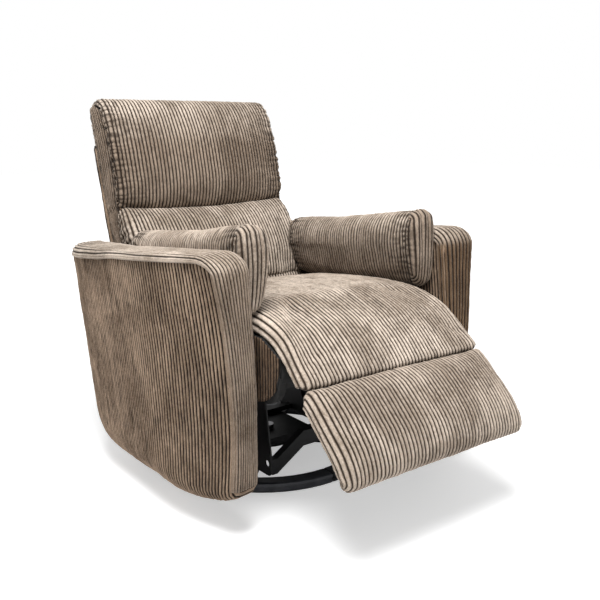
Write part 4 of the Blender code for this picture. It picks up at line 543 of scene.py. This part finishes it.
def square_to(line, side):
    """Unit directions square to a line in its plane, on the given side of it."""
    tangent = unit(np.gradient(line, axis=0))
    return side * np.stack([-tangent[:, 1], tangent[:, 0]], axis=1)


def held_at(points, first, last, columns):
    """Where the seams hold a pad: its first and last rows, and everything but the given columns."""
    held = np.ones(points.shape[:2])
    held[first:-last, columns] = 0.0
    return held


seat_line = smooth_line([
    (0.178, 0.446), (0.15, 0.462), (0.05, 0.482), (-0.08, 0.497), (-0.2, 0.507), (-0.3, 0.512),
    (-0.36, 0.51), (-0.41, 0.501), (-0.45, 0.4865), (-0.4845, 0.464), (-0.513, 0.438), (-0.537, 0.415),
    (-0.552, 0.399), (-0.5545, 0.3895), (-0.55, 0.379)], ROW)
seat_line = seat_line + (HUB_Y, 0.0)
seat_x, seat_d = section(PAD_HALF, PAD_CORNER, PAD_DEPTH, PAD_TUCK, PAD_TOP_WALES, PAD_SIDES, UNDER_COLUMNS)
up = square_to(seat_line, -1)
share = np.linspace(0, 1, len(seat_line))
crown = SEAT_CROWN * np.sin(pi * np.clip(share * 1.02, 0, 1)) ** 0.4
lift = crown[:, None] * (1 - (seat_x / PAD_HALF) ** 2) * (seat_d == 0) - seat_d[None, :]
seat_points = np.stack([np.repeat(seat_x[None, :], len(seat_line), axis=0),
                        seat_line[:, 0:1] + up[:, 0:1] * lift, seat_line[:, 1:2] + up[:, 1:2] * lift], axis=2)
held = held_at(seat_points, 3, 2, np.flatnonzero(seat_d < SEAT_SWELLS_TO))
# The seat is painted a little lighter with a tone above 1, as painted light.
seat = corduroy("seat_and_chaise", seat_points, (0.0, HUB_Y - 0.25, 0.46), painted_lit_cloth, None,
                pad_ribs(PAD_TOP_WALES, PAD_SIDES, UNDER_COLUMNS), closed=1, held=held,
                fade=(1, 1.5), tone=1.03, seed=2)
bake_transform(seat)
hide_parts("seat_cushion", "chaise_pad")

# Seat core: the block of foam on its webbing under the cover, wrapped in black lining cloth.
# It fills the space between the side rails and has a rounded nose at the front.
CORE_HALF = 0.2765
CLOSE_WELD = 0.0002


def sewn_shut(mesh):
    """Join a mesh's meeting edges and close its open ends."""
    bm = bmesh.new()
    bm.from_mesh(mesh)
    bmesh.ops.remove_doubles(bm, verts=bm.verts[:], dist=CLOSE_WELD)
    bmesh.ops.holes_fill(bm, edges=[e for e in bm.edges if e.is_boundary], sides=0)
    bmesh.ops.recalc_face_normals(bm, faces=bm.faces[:])
    bm.to_mesh(mesh)
    bm.free()


core_outline = smooth_line([
    (0.17, 0.35), (-0.3, 0.348), (-0.43, 0.352), (-0.464, 0.372), (-0.472, 0.4), (-0.458, 0.43),
    (-0.438, 0.446), (-0.39, 0.462), (-0.2, 0.47), (0.05, 0.446), (0.17, 0.415), (0.172, 0.38),
    (0.17, 0.35)], 0.012)
core = grid_object("seat_core", np.array([[(x, y + HUB_Y, z) for x in np.linspace(-CORE_HALF, CORE_HALF, 5)]
                                          for y, z in core_outline]))
sewn_shut(core.data)
core.data.materials.append(lining)
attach(core, "chassis")

# Foot pad: a thicker pad on the leg rest's board, sewn to the chaise at the cross seam.
# Its cover turns over the rounded tip and a little way underneath, where it is stapled to the board.
FOOT_ROW = 0.0095
FOOT_HALF = PAD_HALF + 0.003
FOOT_SIDES = PAD_SIDES + 1
FOOT_DEPTH = 0.041
FOOT_CROWN = 0.007
TIP_THINNER = 0.027
TIP_NARROWER = 0.010


def part_way(value, start, end):
    """How far a value has come from a start to an end, from 0 to 1."""
    return np.clip((value - start) / (end - start), 0.0, 1.0)


foot_line = smooth_line([
    (0.106, 0.108), (0.107, 0.12), (0.112, 0.1285), (0.126, 0.1345), (0.16, 0.1375), (0.21, 0.1385),
    (0.26, 0.1365), (0.295, 0.131), (0.318, 0.123), (0.332, 0.111), (0.336, 0.097), (0.33, 0.084),
    (0.318, 0.077), (0.3, 0.074)], FOOT_ROW)
up = square_to(foot_line, 1)
share = np.linspace(0, 1, len(foot_line))
foot_rows = []
for k, (u, n) in enumerate(foot_line):
    depth = FOOT_DEPTH - TIP_THINNER * part_way(share[k], 0.72, 0.88)
    half = FOOT_HALF - TIP_NARROWER * part_way(share[k], 0.80, 1.0) ** 2
    x, d = section(half, PAD_CORNER, depth, PAD_TUCK, PAD_TOP_WALES, FOOT_SIDES, UNDER_COLUMNS)
    crown = FOOT_CROWN * sin(pi * min(1.0, share[k] * 1.05 + 0.04)) ** 0.7
    lift = crown * (1 - (x / half) ** 2) * (d == 0) - d
    foot_rows.append(on_slope(x, u + up[k, 0] * lift, n + up[k, 1] * lift))
foot_points = np.array(foot_rows)
held = held_at(foot_points, 1, 2, slice(3, len(x) - UNDER_COLUMNS - 3))
# The foot pad is painted a little darker with its tone, as painted shade.
foot = corduroy("foot_pad_cover", foot_points, on_slope(0.0, 0.21, 0.095), painted_lit_cloth, "leg_rest",
                pad_ribs(PAD_TOP_WALES, FOOT_SIDES, UNDER_COLUMNS), closed=1, held=held,
                fade=(1.5, 1), tone=0.89, seed=4)
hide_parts("foot_pad")

# Seat sides: corduroy glued over the wooden side rails, with its wales upright.
# The lower edge rises in a round towards the front, and the upper corner is cut back.
HANDS = (("left", 1), ("right", -1))
SIDE_X = 0.2832
SIDE_FRONT_Y, SIDE_REAR_Y = -0.4685, 0.180
SIDE_LOW, SIDE_HIGH = 0.3145, 0.470
SIDE_NOSE_HIGH = 0.437
SIDE_ROUND = (0.100, 0.088)


def drop(distance, length, height):
    """How far an elliptical end has fallen at a distance from its tip."""
    share = np.clip(1 - distance / length, 0.0, 1.0)
    return height * (1 - np.sqrt(1 - share * share))


for hand, side in HANDS:
    columns = []
    for y in np.arange(SIDE_FRONT_Y, SIDE_REAR_Y, WALE):
        low = SIDE_LOW + drop(y - SIDE_FRONT_Y, *SIDE_ROUND)
        high = min(SIDE_HIGH, SIDE_NOSE_HIGH + 0.5 * (y - SIDE_FRONT_Y))
        columns.append([(side * SIDE_X, y + HUB_Y, low + (high - low) * t) for t in np.linspace(0, 1, 12)])
    # Painted shade: the sides take the shaded copy of the cloth, darkened again by half with their tone.
    panel = corduroy("seat_side_" + hand, np.array(columns).swapaxes(0, 1), (0.0, 0.0, 0.38), painted_shade_cloth,
                     "chassis", wall=0.0015, tone=0.5, seed=6 + side)

# Lumbar cushion: fullest at the hips, falling back to the deep cross seam under the head pillow.
# A flat band is sewn across its foot. Its seams to the sides are gathered, as the head pillow's are.
BACK_HINGE = (0.0, HUB_Y + 0.243, 0.362)
BACK_LEAN = radians(17.5)
BACK_HALF = 0.2900
BACK_TOP_WALES = round(2 * (BACK_HALF - 0.025) / WALE)
BACK_TUCK = 0.016
BACK_CROWN = 0.008
SEAM_SAG = 0.016
LUMBAR_CORNER = 0.026
LUMBAR_SIDES = 6
GATHERED = dict(cap=0.012, pucker=0.0065, pucker_reach=0.042, finer=3)


def on_back(x, s, n):
    """A place in the back's own directions: s up the back from its hinge, n forward of it."""
    return np.stack([x + 0 * s, BACK_HINGE[1] + s * sin(BACK_LEAN) - n * cos(BACK_LEAN),
                     BACK_HINGE[2] + s * cos(BACK_LEAN) + n * sin(BACK_LEAN)], axis=-1)


def back_pad(line, depths, corner, crown, side_wales, sag):
    """The grid over a pad of the back, from its line in the back's directions.

    sag lowers the line in the middle of the pad, row by row.
    """
    up = square_to(line, 1)
    rows = []
    for k, (s, n) in enumerate(line):
        x, d = section(BACK_HALF, corner, depths[k], BACK_TUCK, BACK_TOP_WALES, side_wales, UNDER_COLUMNS)
        dome = 1 - (x / BACK_HALF) ** 2
        lift = crown[k] * dome * (d == 0) - d
        rows.append(on_back(x, s + up[k, 0] * lift - sag[k] * dome, n + up[k, 1] * lift))
    return np.array(rows), len(x)


lumbar_line = smooth_line([
    (0.052, 0.04), (0.056, 0.058), (0.066, 0.069), (0.082, 0.0725), (0.096, 0.069), (0.1, 0.077),
    (0.12, 0.089), (0.165, 0.092), (0.22, 0.084), (0.27, 0.069), (0.31, 0.053), (0.338, 0.037),
    (0.353, 0.023), (0.358, 0.008)], ROW)
depths = np.clip(lumbar_line[:, 1] + 0.010, 0.020, 0.080)
share = np.linspace(0, 1, len(lumbar_line))
lumbar_points, columns = back_pad(lumbar_line, depths, LUMBAR_CORNER, BACK_CROWN * np.sin(pi * share) ** 0.6,
                                  LUMBAR_SIDES, SEAM_SAG * part_way(share, 0.55, 1.0))
held = held_at(lumbar_points, 5, 1, slice(4, columns - UNDER_COLUMNS - 4))
lumbar = corduroy("lumbar_cover", lumbar_points, on_back(0.0, 0.18, 0.03), painted_lit_cloth, "back",
                  pad_ribs(BACK_TOP_WALES, LUMBAR_SIDES, UNDER_COLUMNS), closed=1, held=held,
                  fade=(0, 1.5), seed=8, **GATHERED)
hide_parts("lumbar_cushion")

# Head pillow: hooked over the top of the back, a front and top strip between two boxed sides.
# Its face is painted darker than its top and back with its tone, as painted shade.
HEAD_DEPTH = 0.018
HEAD_CORNER = 0.015
HEAD_SIDES = 3
HEAD_PAINTED_SHADE = ((0, 0.35, 0.46, 0.56), (0.54, 0.50, 0.80, 0.96))
head_line = smooth_line([
    (0.356, 0.004), (0.3585, 0.019), (0.37, 0.032), (0.4, 0.042), (0.46, 0.048), (0.53, 0.0495),
    (0.59, 0.0465), (0.64, 0.037), (0.672, 0.018), (0.686, -0.008), (0.685, -0.034), (0.67, -0.056),
    (0.64, -0.068), (0.6, -0.071), (0.555, -0.069)], ROW)
share = np.linspace(0, 1, len(head_line))
head_points, columns = back_pad(head_line, np.full(len(head_line), HEAD_DEPTH), HEAD_CORNER,
                                BACK_CROWN * np.sin(pi * np.clip(share * 1.3, 0, 1)) ** 0.6,
                                HEAD_SIDES, SEAM_SAG * part_way(share, 0.25, 0.0))
held = held_at(head_points, 1, 2, slice(3, columns - UNDER_COLUMNS - 3))
head = corduroy("head_pillow_cover", head_points, on_back(0.0, 0.53, 0.0), painted_lit_cloth, "back",
                pad_ribs(BACK_TOP_WALES, HEAD_SIDES, UNDER_COLUMNS), closed=1, held=held,
                fade=(1.5, 0.5), tone=np.interp(share, *HEAD_PAINTED_SHADE), seed=10, **GATHERED)
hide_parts("head_pillow")

# Back sides: one upright ribbed panel on each side, from the seat to the top of the head pillow, and a
# strip of the cloth with painted shade behind the cross seam. Panels and strip are painted darker again
# with a low tone, as painted shade.
BOXING_X = 0.2885
BOXING_BOW = 0.004
BOXING_REAR = -0.066
BOXING_LOW, BOXING_TOP = 0.064, 0.672
BOXING_ROWS, BOXING_WALES = 60, 8
SIDE_FRONT = (
    (0.062, 0.004), (0.1, 0.006), (0.165, 0.012), (0.25, 0.001), (0.315, 0.002), (0.34, 0.012),
    (0.358, 0.014), (0.372, 0.018), (0.4, 0.028), (0.46, 0.034), (0.53, 0.0355), (0.59, 0.0325),
    (0.64, 0.023), (0.672, 0.006), (0.69, -0.01))
for hand, side in HANDS:
    columns = []
    for f in np.linspace(0, 1, BOXING_WALES + 1):
        top = BOXING_TOP - 0.030 * part_way(f, 0.55, 1.0) ** 2 - 0.026 * part_way(f, 0.25, 0.0) ** 2
        s = np.linspace(BOXING_LOW, top, BOXING_ROWS)
        n = BOXING_REAR + f * (np.interp(s, *np.transpose(SIDE_FRONT)) - BOXING_REAR)
        bow = BOXING_BOW * (1 - abs(2 * f - 1) ** 3) * (s > 0.36)
        columns.append(on_back(side * (BOXING_X + bow), s, n))
    boxing = corduroy("back_side_" + hand, np.array(columns).swapaxes(0, 1), (0.0, 0.5, 0.8), painted_lit_cloth,
                      "back", wall=0.0015, finer=1, pucker=0.0018, pucker_reach=0.012, tone=0.50,
                      seed=12 + side)
seam_x = np.linspace(-0.286, 0.286, 53)
seam_rows = [on_back(seam_x, s + 0 * seam_x, 0.011) for s in (0.335, 0.350, 0.365, 0.380)]
seam = corduroy("back_seam_cloth", np.array(seam_rows), on_back(0.0, 0.36, -0.05), painted_shade_cloth,
                "back", wall=0.0015, tone=0.5, seed=15)

# Back shell: the outside panel, covered in corduroy with upright wales, bowed a little to the rear and
# stapled round the frame at both sides. A plain brown cloth closes it above and below.
SHELL_HALF = 0.2895
SHELL_WALES = 51
SHELL_LOW, SHELL_TOP = 0.0555, 0.5670
SHELL_REAR = -0.0905
SHELL_BOW = 0.004
shell_rows = []
for s in np.linspace(SHELL_LOW, SHELL_TOP, 26):
    x, d = section(SHELL_HALF, 0.012, 0.0235, 0.010, SHELL_WALES, 2, 2)
    rear = SHELL_REAR - SHELL_BOW * (sin(pi * (s - 0.055) / 0.513) + 1 - (x / SHELL_HALF) ** 2)
    shell_rows.append(on_back(x, s + 0 * x, rear + d))
# The outside panel takes the copy of the cloth with painted shade.
shell = corduroy("back_outside_cover", np.array(shell_rows), on_back(0.0, 0.31, -0.078), painted_shade_cloth,
                 "back", pad_ribs(SHELL_WALES, 2, 2), closed=1, fade=(0.5, 0.5), seed=14)
shell.data.materials[1] = backing
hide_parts("back_outside_panel")

# Arms: wrap-round padded shells of board and foam. Their corduroy has upright wales, front to back along
# the side and round the rear. On the left it is pressed into a pocket round the buttons' panel.
ARM_TOP = 0.622
ARM_FALL = 0.095
ARM_LOW = 0.036
ARM_FRONT_Y = -0.433
ARM_FULL_Y = -0.060
ARM_CORNER_Y = 0.180
ARM_REAR_Y = 0.436
ARM_INNER = 0.3126
ARM_INNER_REAR_Y = 0.389
ARM_FRONT_X = 0.3745
ARM_WIDEST_X = 0.441
ARM_REAR_X = 0.325
CORNER_POWER = 2 / 2.8
ARM_NOSE = (0.070, 0.042)
ARM_LOW_FRONT, ARM_LOW_REAR = (0.640, 0.094), (0.150, 0.110)
ARM_FLARE = 0.0295
ARM_BOW = 0.0255
ARM_LEAN = 0.275
ARM_INNER_RADIUS = 0.020
ARM_UNDER_RADIUS = 0.010
ARM_WIDER_WALE = 1.12
ARM_RINGS = 92
ARC = np.linspace(0, pi / 2, 9)
PANEL_DIMPLE = ((-0.012, -0.004, 0.001, 0.022), (0.019, 0.015, 0.007, 0.0))
PANEL_REACH = 0.030


def arm_plan(reach):
    """The arm's outer face seen from above, at a distance along it from its front edge."""
    side_length = ARM_CORNER_Y - ARM_FRONT_Y
    corner_length = ARM_REAR_Y - ARM_CORNER_Y + ARM_WIDEST_X - ARM_REAR_X
    if reach < side_length:
        y = ARM_FRONT_Y + reach
        bulge = part_way(y, ARM_FRONT_Y, ARM_FULL_Y)
        return ARM_FRONT_X + (ARM_WIDEST_X - ARM_FRONT_X) * sin(pi / 2 * bulge), y
    angle = pi / 2 * min(1.0, (reach - side_length) / corner_length)
    return (ARM_REAR_X + (ARM_WIDEST_X - ARM_REAR_X) * max(0.0, cos(angle)) ** CORNER_POWER,
            ARM_CORNER_Y + (ARM_REAR_Y - ARM_CORNER_Y) * sin(angle) ** CORNER_POWER)


def arm_inner_y(y):
    """How far back the inner face's point lies that faces a point of the outer face."""
    if y > ARM_CORNER_Y:
        return np.interp(y, (ARM_CORNER_Y, ARM_REAR_Y), (ARM_CORNER_Y, ARM_INNER_REAR_Y))
    return y + 0.015 * part_way(y, 0.0, ARM_FRONT_Y)


def arm_bend(x, y, z):
    """A plan point at its height: the front bows back and flares, and the rear leans forward."""
    share = (y - ARM_FRONT_Y) / (ARM_REAR_Y - ARM_FRONT_Y)
    curve = ((z - 0.270) / 0.372) ** 2
    outward = np.clip((x - ARM_INNER) / (ARM_FRONT_X - ARM_INNER), None, 1.0)
    return (x + ARM_FLARE * curve * (1 - share) ** 3 * outward,
            y + (1 - share) * ARM_BOW * curve - share * ARM_LEAN * (ARM_TOP - z))


def arm_high(x, y):
    """The height of the arm's top over a point of its plan."""
    fall = ARM_FALL * arm_bend(x, y, ARM_TOP)[1] + drop(y - ARM_FRONT_Y, *ARM_NOSE)
    return ARM_TOP - fall + np.interp(y, (0.12, 0.37), (0.005, 0.015))


def edge_radius(y):
    """The rounding of the arm's outer top edge, which grows towards the rear."""
    return np.interp(y, (0.020, 0.280), (0.012, 0.026))


def arm_section(width, low, high, corners):
    """A closed section of the arm: up the outer face, over the top, down inside and under."""
    r_low, r_out, r_in, r_under = corners
    line = []
    for cx, cz, r, start in ((width - r_low, low + r_low, r_low, -pi / 2),
                             (width - r_out, high - r_out, r_out, 0.0),
                             (r_in, high - r_in, r_in, pi / 2), (r_under, low + r_under, r_under, pi)):
        line += [(cx + r * cos(start + t), cz + r * sin(start + t)) for t in ARC]
    line.append(line[0])
    return evenly(line, ARM_RINGS)


plan = np.array([arm_plan(r) for r in np.linspace(0.0, 0.985, 1200)])
plan = evenly(plan, round(run_of(plan)[-1] / (ARM_WIDER_WALE * WALE)))
arm_columns = []
for x, y in plan:
    inner_y = arm_inner_y(y)
    width = ((x - ARM_INNER) ** 2 + (y - inner_y) ** 2) ** 0.5
    low = ARM_LOW + drop(y - ARM_FRONT_Y, *ARM_LOW_FRONT) + drop(ARM_REAR_Y - y, *ARM_LOW_REAR)
    low_radius = min(np.interp(y - ARM_FRONT_Y, (0.0, 0.366), (0.018, 0.100)), width * 0.8)
    line = arm_section(width, low, arm_high(x, y), (low_radius, edge_radius(y) + 0.002, ARM_INNER_RADIUS,
                                                    ARM_UNDER_RADIUS))
    t = line[:, 0] / width
    bx, by = arm_bend(np.maximum(ARM_INNER + (x - ARM_INNER) * t, ARM_INNER), inner_y + (y - inner_y) * t,
                      line[:, 1])
    arm_columns.append(np.stack([bx, by + HUB_Y, line[:, 1]], axis=1))
arm_points = np.array(arm_columns).swapaxes(0, 1)
panel_low, panel_high = (np.array(corner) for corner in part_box("control_housing"))
for hand, side in HANDS:
    points = arm_points * (side, 1, 1)
    past = np.maximum(panel_low - points, points - panel_high)
    sunk = np.interp(past[:, :, 1:].max(axis=2), *PANEL_DIMPLE)
    points[:, :, 0] -= sunk * (past[:, :, 0] < PANEL_REACH) * (side > 0)
    # Painted shade: the arms take the shaded copy of the cloth, and the left arm, further from the camera, is
    # painted darker again with its tone.
    arm = corduroy("arm_cover_" + hand, points, (side * 0.37, HUB_Y, 0.3), painted_shade_cloth, "chassis",
                   closed=0, finer=1, tone=0.82 if side > 0 else 1.0, seed=20 + side)
    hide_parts("arm_" + hand)

# Arm bands: a strip of lengthwise wales runs over the top of each arm and down its front, and its
# edges are sewn to the sides as raised welts. The left one is narrower, with wider wales.
BAND_PROUD = 0.0035
BAND_HEM = 0.026
BAND_CROWN = 0.003
BAND_STEP = 0.012
BAND_FOOT = 0.128
WELT_RADIUS = 0.0034
# Along the band's path: y, z, the direction square to it, and over the top the outer face's x.
stations = []
for x, y in plan[:0:-1]:
    if y - ARM_FRONT_Y > 0.072:
        stations.append((y, arm_high(x, y), 0.0, 1.0, x))
for t in np.radians(np.linspace(2, 88, 14)):
    y = ARM_FRONT_Y + ARM_NOSE[0] * (1 - sin(t))
    square = Vector((-sin(t) / ARM_NOSE[0], cos(t) / ARM_NOSE[1])).normalized()
    stations.append((y, arm_high(ARM_FRONT_X, y), square.x, square.y, None))
for z in np.arange(arm_high(ARM_FRONT_X, ARM_FRONT_Y) - BAND_STEP, BAND_FOOT, -BAND_STEP):
    stations.append((ARM_FRONT_Y, z, -1.0, 0.0, None))


def band_grid(wales):
    """The band's grid over one arm, with its number of wales."""
    crown = BAND_CROWN * np.sin(pi * np.linspace(0, 1, wales + 1)) ** 2
    rows = []
    for path_y, path_z, ny, nz, path_x in stations:
        x = path_x or arm_plan(path_y - ARM_FRONT_Y)[0]
        inner_y = arm_inner_y(path_y)
        width = ((x - ARM_INNER) ** 2 + (path_y - inner_y) ** 2) ** 0.5
        line = []
        for edge, way, r, arc in ((width + BAND_PROUD, -1, edge_radius(path_y), ARC),
                                  (-BAND_PROUD, 1, ARM_INNER_RADIUS, ARC[::-1])):
            line += [(edge + way * r * (1 - cos(t)), r * (1 - sin(t))) for t in arc]
        line = evenly(line + [(-BAND_PROUD, BAND_HEM)], wales)
        row = []
        for (across, depth), rise in zip(line, crown):
            t = across / width
            depth -= rise + BAND_PROUD
            plan_y = path_y - ny * depth
            outer_x = path_x or arm_plan(max(0.0, plan_y - ARM_FRONT_Y))[0]
            z = path_z - nz * depth
            bx, by = arm_bend(ARM_INNER + (outer_x - ARM_INNER) * t,
                              inner_y + plan_y - path_y + (path_y - inner_y) * t, z)
            row.append((bx, by + HUB_Y, z))
        rows.append(row)
    return np.array(rows)


# Painted light and shade: each band is painted darker down its front than over its top, the left one most,
# and its welts a little darker again.
on_top = np.array([station[3] for station in stations])
for hand, side, wales, front_painted_shade in (("left", 1, 11, 0.26), ("right", -1, 15, 0.51)):
    points = band_grid(wales) * (side, 1, 1)
    band_painted_shade = front_painted_shade + (1 - front_painted_shade) * on_top
    strip = corduroy("arm_band_" + hand, points, (side * 0.35, HUB_Y, 0.3), painted_lit_cloth, "chassis", wall=0.002,
                     finer=1, tone=band_painted_shade, seed=24 + side)
    edge = points[:, 0]
    along = unit(np.gradient(edge, axis=0))
    out = unit(np.cross(along, points[:, 1] - edge))
    ring = np.radians(np.arange(0, 361, 45))[None, :, None]
    round_edge = np.cos(ring) * out[:, None] + np.sin(ring) * np.cross(along, out)[:, None]
    cord_grid = edge[:, None] + WELT_RADIUS * round_edge
    welt = grid_object("arm_welt_" + hand, cord_grid)
    dress(welt.data, painted_lit_cloth, np.full(cord_grid.shape[:2], 0.9), 0.85 * band_painted_shade, np.arange(9) * 0.0027,
          np.arange(len(edge)) * 0.011)
    sewn_shut(welt.data)
    welt.data.shade_smooth()
    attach(welt, "chassis")

# Arm pillows: soft pads that hang inside the arms. A strip with its wales round the pad is closed by
# a gathered end piece at the front and rear.
PILLOW_LENGTH = 0.540
PILLOW_FRONT = HUB_Y - 0.342
PILLOW_TOPS, PILLOW_LOWS = (0.719, 0.649), (0.516, 0.478)
PILLOW_WALES = round(PILLOW_LENGTH / WALE)
PILLOW_SHAPE = np.array([0.043, 0.100])
PILLOW_ENDS = (0.014, 0.005)
END_WALES = 8
END_ROWS = 22
END_RIM = 0.0045
END_TURN = 0.008
END_HEM = 0.0015


def pillow_ring(share):
    """The pad's section at a share of its length from the front."""
    top, low = np.interp(share, (0, 1), PILLOW_TOPS), np.interp(share, (0, 1), PILLOW_LOWS)
    ring = evenly(smooth_line([
        (0.285, low - 0.004), (0.302, low + 0.008), (0.3105, low + 0.035), (0.3115, low + 0.090),
        (0.3115, top - 0.050), (0.308, top - 0.020), (0.295, top - 0.004), (0.271, top),
        (0.247, top - 0.006), (0.2325, top - 0.023), (0.2265, top - 0.050), (0.2270, top - 0.085),
        (0.2320, low + 0.090), (0.2410, low + 0.048), (0.2530, low + 0.016), (0.2680, low),
        (0.285, low - 0.004)], 0.01), 38)
    shrink = drop(min(share, 1 - share) * PILLOW_LENGTH, *PILLOW_ENDS)
    centre = ring.mean(axis=0)
    return centre + (ring - centre) * (1 - shrink / PILLOW_SHAPE)


pillow_columns = []
for k in range(PILLOW_WALES + 1):
    ring = pillow_ring(k / PILLOW_WALES)
    y = PILLOW_FRONT + PILLOW_LENGTH * k / PILLOW_WALES
    pillow_columns.append(np.stack([ring[:, 0], 0 * ring[:, 0] + y, ring[:, 1]], axis=1))
pillow_points = np.array(pillow_columns).swapaxes(0, 1)


def pillow_end(share):
    """An end piece's grid in x and z: upright wales from lower to upper edge, with a hem all round."""
    ring = pillow_ring(share)[:-1]
    centre = ring.mean(axis=0)
    ring = centre + (ring - centre) * (1 + END_RIM / PILLOW_SHAPE)
    ring = np.roll(ring, -np.argmax((ring - centre) / PILLOW_SHAPE @ (1, -1)), axis=0)
    way = (ring - centre) / PILLOW_SHAPE
    upper_out, upper_in, lower_in = (np.argmax(way @ corner) for corner in ((1, 1), (-1, 1), (-1, -1)))
    outer = evenly(ring[:upper_out + 1], END_ROWS - 1)
    upper = evenly(ring[upper_out:upper_in + 1], END_WALES)[::-1]
    inner = evenly(ring[upper_in:lower_in + 1], END_ROWS - 1)[::-1]
    lower = evenly(np.concatenate([ring[lower_in:], ring[:1]]), END_WALES)
    u = np.linspace(0, 1, END_WALES + 1)[None, :, None]
    v = np.linspace(0, 1, END_ROWS)[:, None, None]
    grid = (1 - u) * inner[:, None] + u * outer[:, None] + (1 - v) * lower[None] + v * upper[None]
    grid -= (1 - v) * ((1 - u) * lower[0] + u * lower[-1]) + v * ((1 - u) * upper[0] + u * upper[-1])
    grid = np.pad(grid, ((1, 1), (1, 1), (0, 0)), 'edge')
    grid[0, :, 1] -= END_HEM
    grid[-1, :, 1] += END_HEM
    grid[:, 0, 0] -= END_HEM
    grid[:, -1, 0] += END_HEM
    return grid


# Painted shade: the left pillow darkens towards its lower edge, the right one is a little darker all over,
# and the end pieces are darker still, the left ones most.
pillow_painted_shade = np.interp(pillow_points[:, :, 2].mean(axis=1), (0.56, 0.665), (0.56, 1.0))
end_u, end_v = np.meshgrid(np.linspace(0, 1, END_WALES + 1), np.linspace(0, 1, END_ROWS))
dome = (1 - (2 * end_u - 1) ** 4) ** 0.5
end_depth = np.pad(0.022 * dome * np.sin(pi * end_v) ** 0.3 + 0.001
                   + 0.004 * np.sin(24 * end_u + 2 * end_v) * dome * (1 - 0.5 * np.sin(pi * end_v)),
                   1, constant_values=-END_TURN)
for hand, side in HANDS:
    held = np.ones(pillow_points.shape[:2])
    held[2:-2, 4:-4] = 0.0
    pillow = corduroy("arm_pillow_cover_" + hand, pillow_points * (side, 1, 1),
                      (side * 0.27, HUB_Y - 0.07, 0.61), painted_lit_cloth, "chassis", closed=0, held=held,
                      cap=0.005, slack=0.02, pucker=0.004, pucker_reach=0.040, crumple=2.2,
                      tone=0.88 if side < 0 else pillow_painted_shade, seed=28 + side)
    pillow.data.materials[1] = painted_lit_cloth
    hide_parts("arm_pillow_" + hand)
    for end, share, out in (("front", 0.0, -1), ("rear", 1.0, 1)):
        flat = pillow_end(share)
        y = PILLOW_FRONT + PILLOW_LENGTH * share + out * end_depth
        points = np.stack([side * flat[:, :, 0], y, flat[:, :, 1]], 2)
        cover = corduroy("arm_pillow_end_%s_%s" % (end, hand), points, (side * 0.27, HUB_Y - 0.07, 0.6),
                         painted_lit_cloth, "chassis", pucker=0.002, pucker_reach=0.012,
                         tone=0.85 if side < 0 else 0.6, seed=32 + side + share * 4)

# Steel and plastic: satin black and dark grey paint on the frame, mechanism and ring, rubbed in patches.
# The bearing and the springs are plated, and the gearbox and the buttons are moulded plastic.
def metal_finish(name, colour, worn, roughness, metallic):
    """Painted or plain steel, or plastic: a fine orange peel, and a rubbed tone in patches."""
    material, link, node = nodes_of(name)
    place = node('ShaderNodeTexCoord')
    rub = node('ShaderNodeTexNoise', Scale=26.0, Detail=5.0, Roughness=0.65)
    peel = node('ShaderNodeTexNoise', Scale=900.0, Detail=2.0)
    link(place.outputs["Object"], rub.inputs["Vector"])
    link(place.outputs["Object"], peel.inputs["Vector"])
    paint = two_tone(node, colour, worn, 0.42, 0.80)
    link(rub.outputs["Fac"], paint.inputs["Fac"])
    bump = node('ShaderNodeBump', Strength=0.12, Distance=0.0004)
    link(peel.outputs["Fac"], bump.inputs["Height"])
    shader = coat(link, node, paint.outputs["Color"], bump, Metallic=metallic)
    link(spread(link, node, rub.outputs["Fac"], 0.0, 1.0, roughness - 0.08, roughness + 0.14),
         shader.inputs["Roughness"])
    return material


black_steel = metal_finish("black_painted_steel", (0.0035, 0.0035, 0.004), (0.010, 0.010, 0.011), 0.46, 0.0)
grey_steel = metal_finish("grey_painted_steel", (0.060, 0.062, 0.070), (0.105, 0.108, 0.118), 0.36, 0.3)
bright_steel = metal_finish("plated_steel", (0.50, 0.50, 0.51), (0.36, 0.36, 0.37), 0.34, 1.0)
black_plastic = metal_finish("moulded_black_plastic", (0.014, 0.014, 0.015), (0.022, 0.022, 0.023), 0.52, 0.0)
grey_plastic = metal_finish("moulded_grey_plastic", (0.19, 0.19, 0.20), (0.24, 0.24, 0.25), 0.46, 0.0)


# Wood and boards: bare softwood rails and posts. The rails that show round the seat and the boards are
# wrapped in black lining, and the back's side wings in brown cloth.
def wood_finish(name, light, dark):
    """Bare softwood with long grain."""
    material, link, node = nodes_of(name)
    stretch = node('ShaderNodeMapping', Scale=(60.0, 6.0, 60.0))
    link(node('ShaderNodeTexCoord').outputs["Object"], stretch.inputs["Vector"])
    grain = node('ShaderNodeTexNoise', Scale=1.6, Detail=6.0, Roughness=0.6, Distortion=0.8)
    link(stretch.outputs[0], grain.inputs["Vector"])
    tone = two_tone(node, dark, light, 0.35, 0.65)
    link(grain.outputs["Fac"], tone.inputs["Fac"])
    bump = node('ShaderNodeBump', Strength=0.2, Distance=0.0005)
    link(grain.outputs["Fac"], bump.inputs["Height"])
    coat(link, node, tone.outputs["Color"], bump, Roughness=0.66)
    return material


LINED = ("seat_rail_front", "seat_rail_left", "seat_rail_right")
pine = wood_finish("bare_softwood", (0.56, 0.41, 0.25), (0.42, 0.28, 0.15))
slot_finish = {"black_steel": black_steel, "grey_steel": grey_steel, "bright_steel": bright_steel,
               "black_plastic": black_plastic, "grey_plastic": grey_plastic, "pine": pine, "plywood": lining,
               "covered_board": backing, "corduroy": painted_lit_cloth, "corduroy_dark": painted_shade_cloth}
for entry in frame["record"]["subparts"]:
    finish = lining if entry["node"].startswith(LINED) else slot_finish[entry["material_slot"]]
    for slot in frame["nodes"][entry["node"]].material_slots:
        slot.material = finish
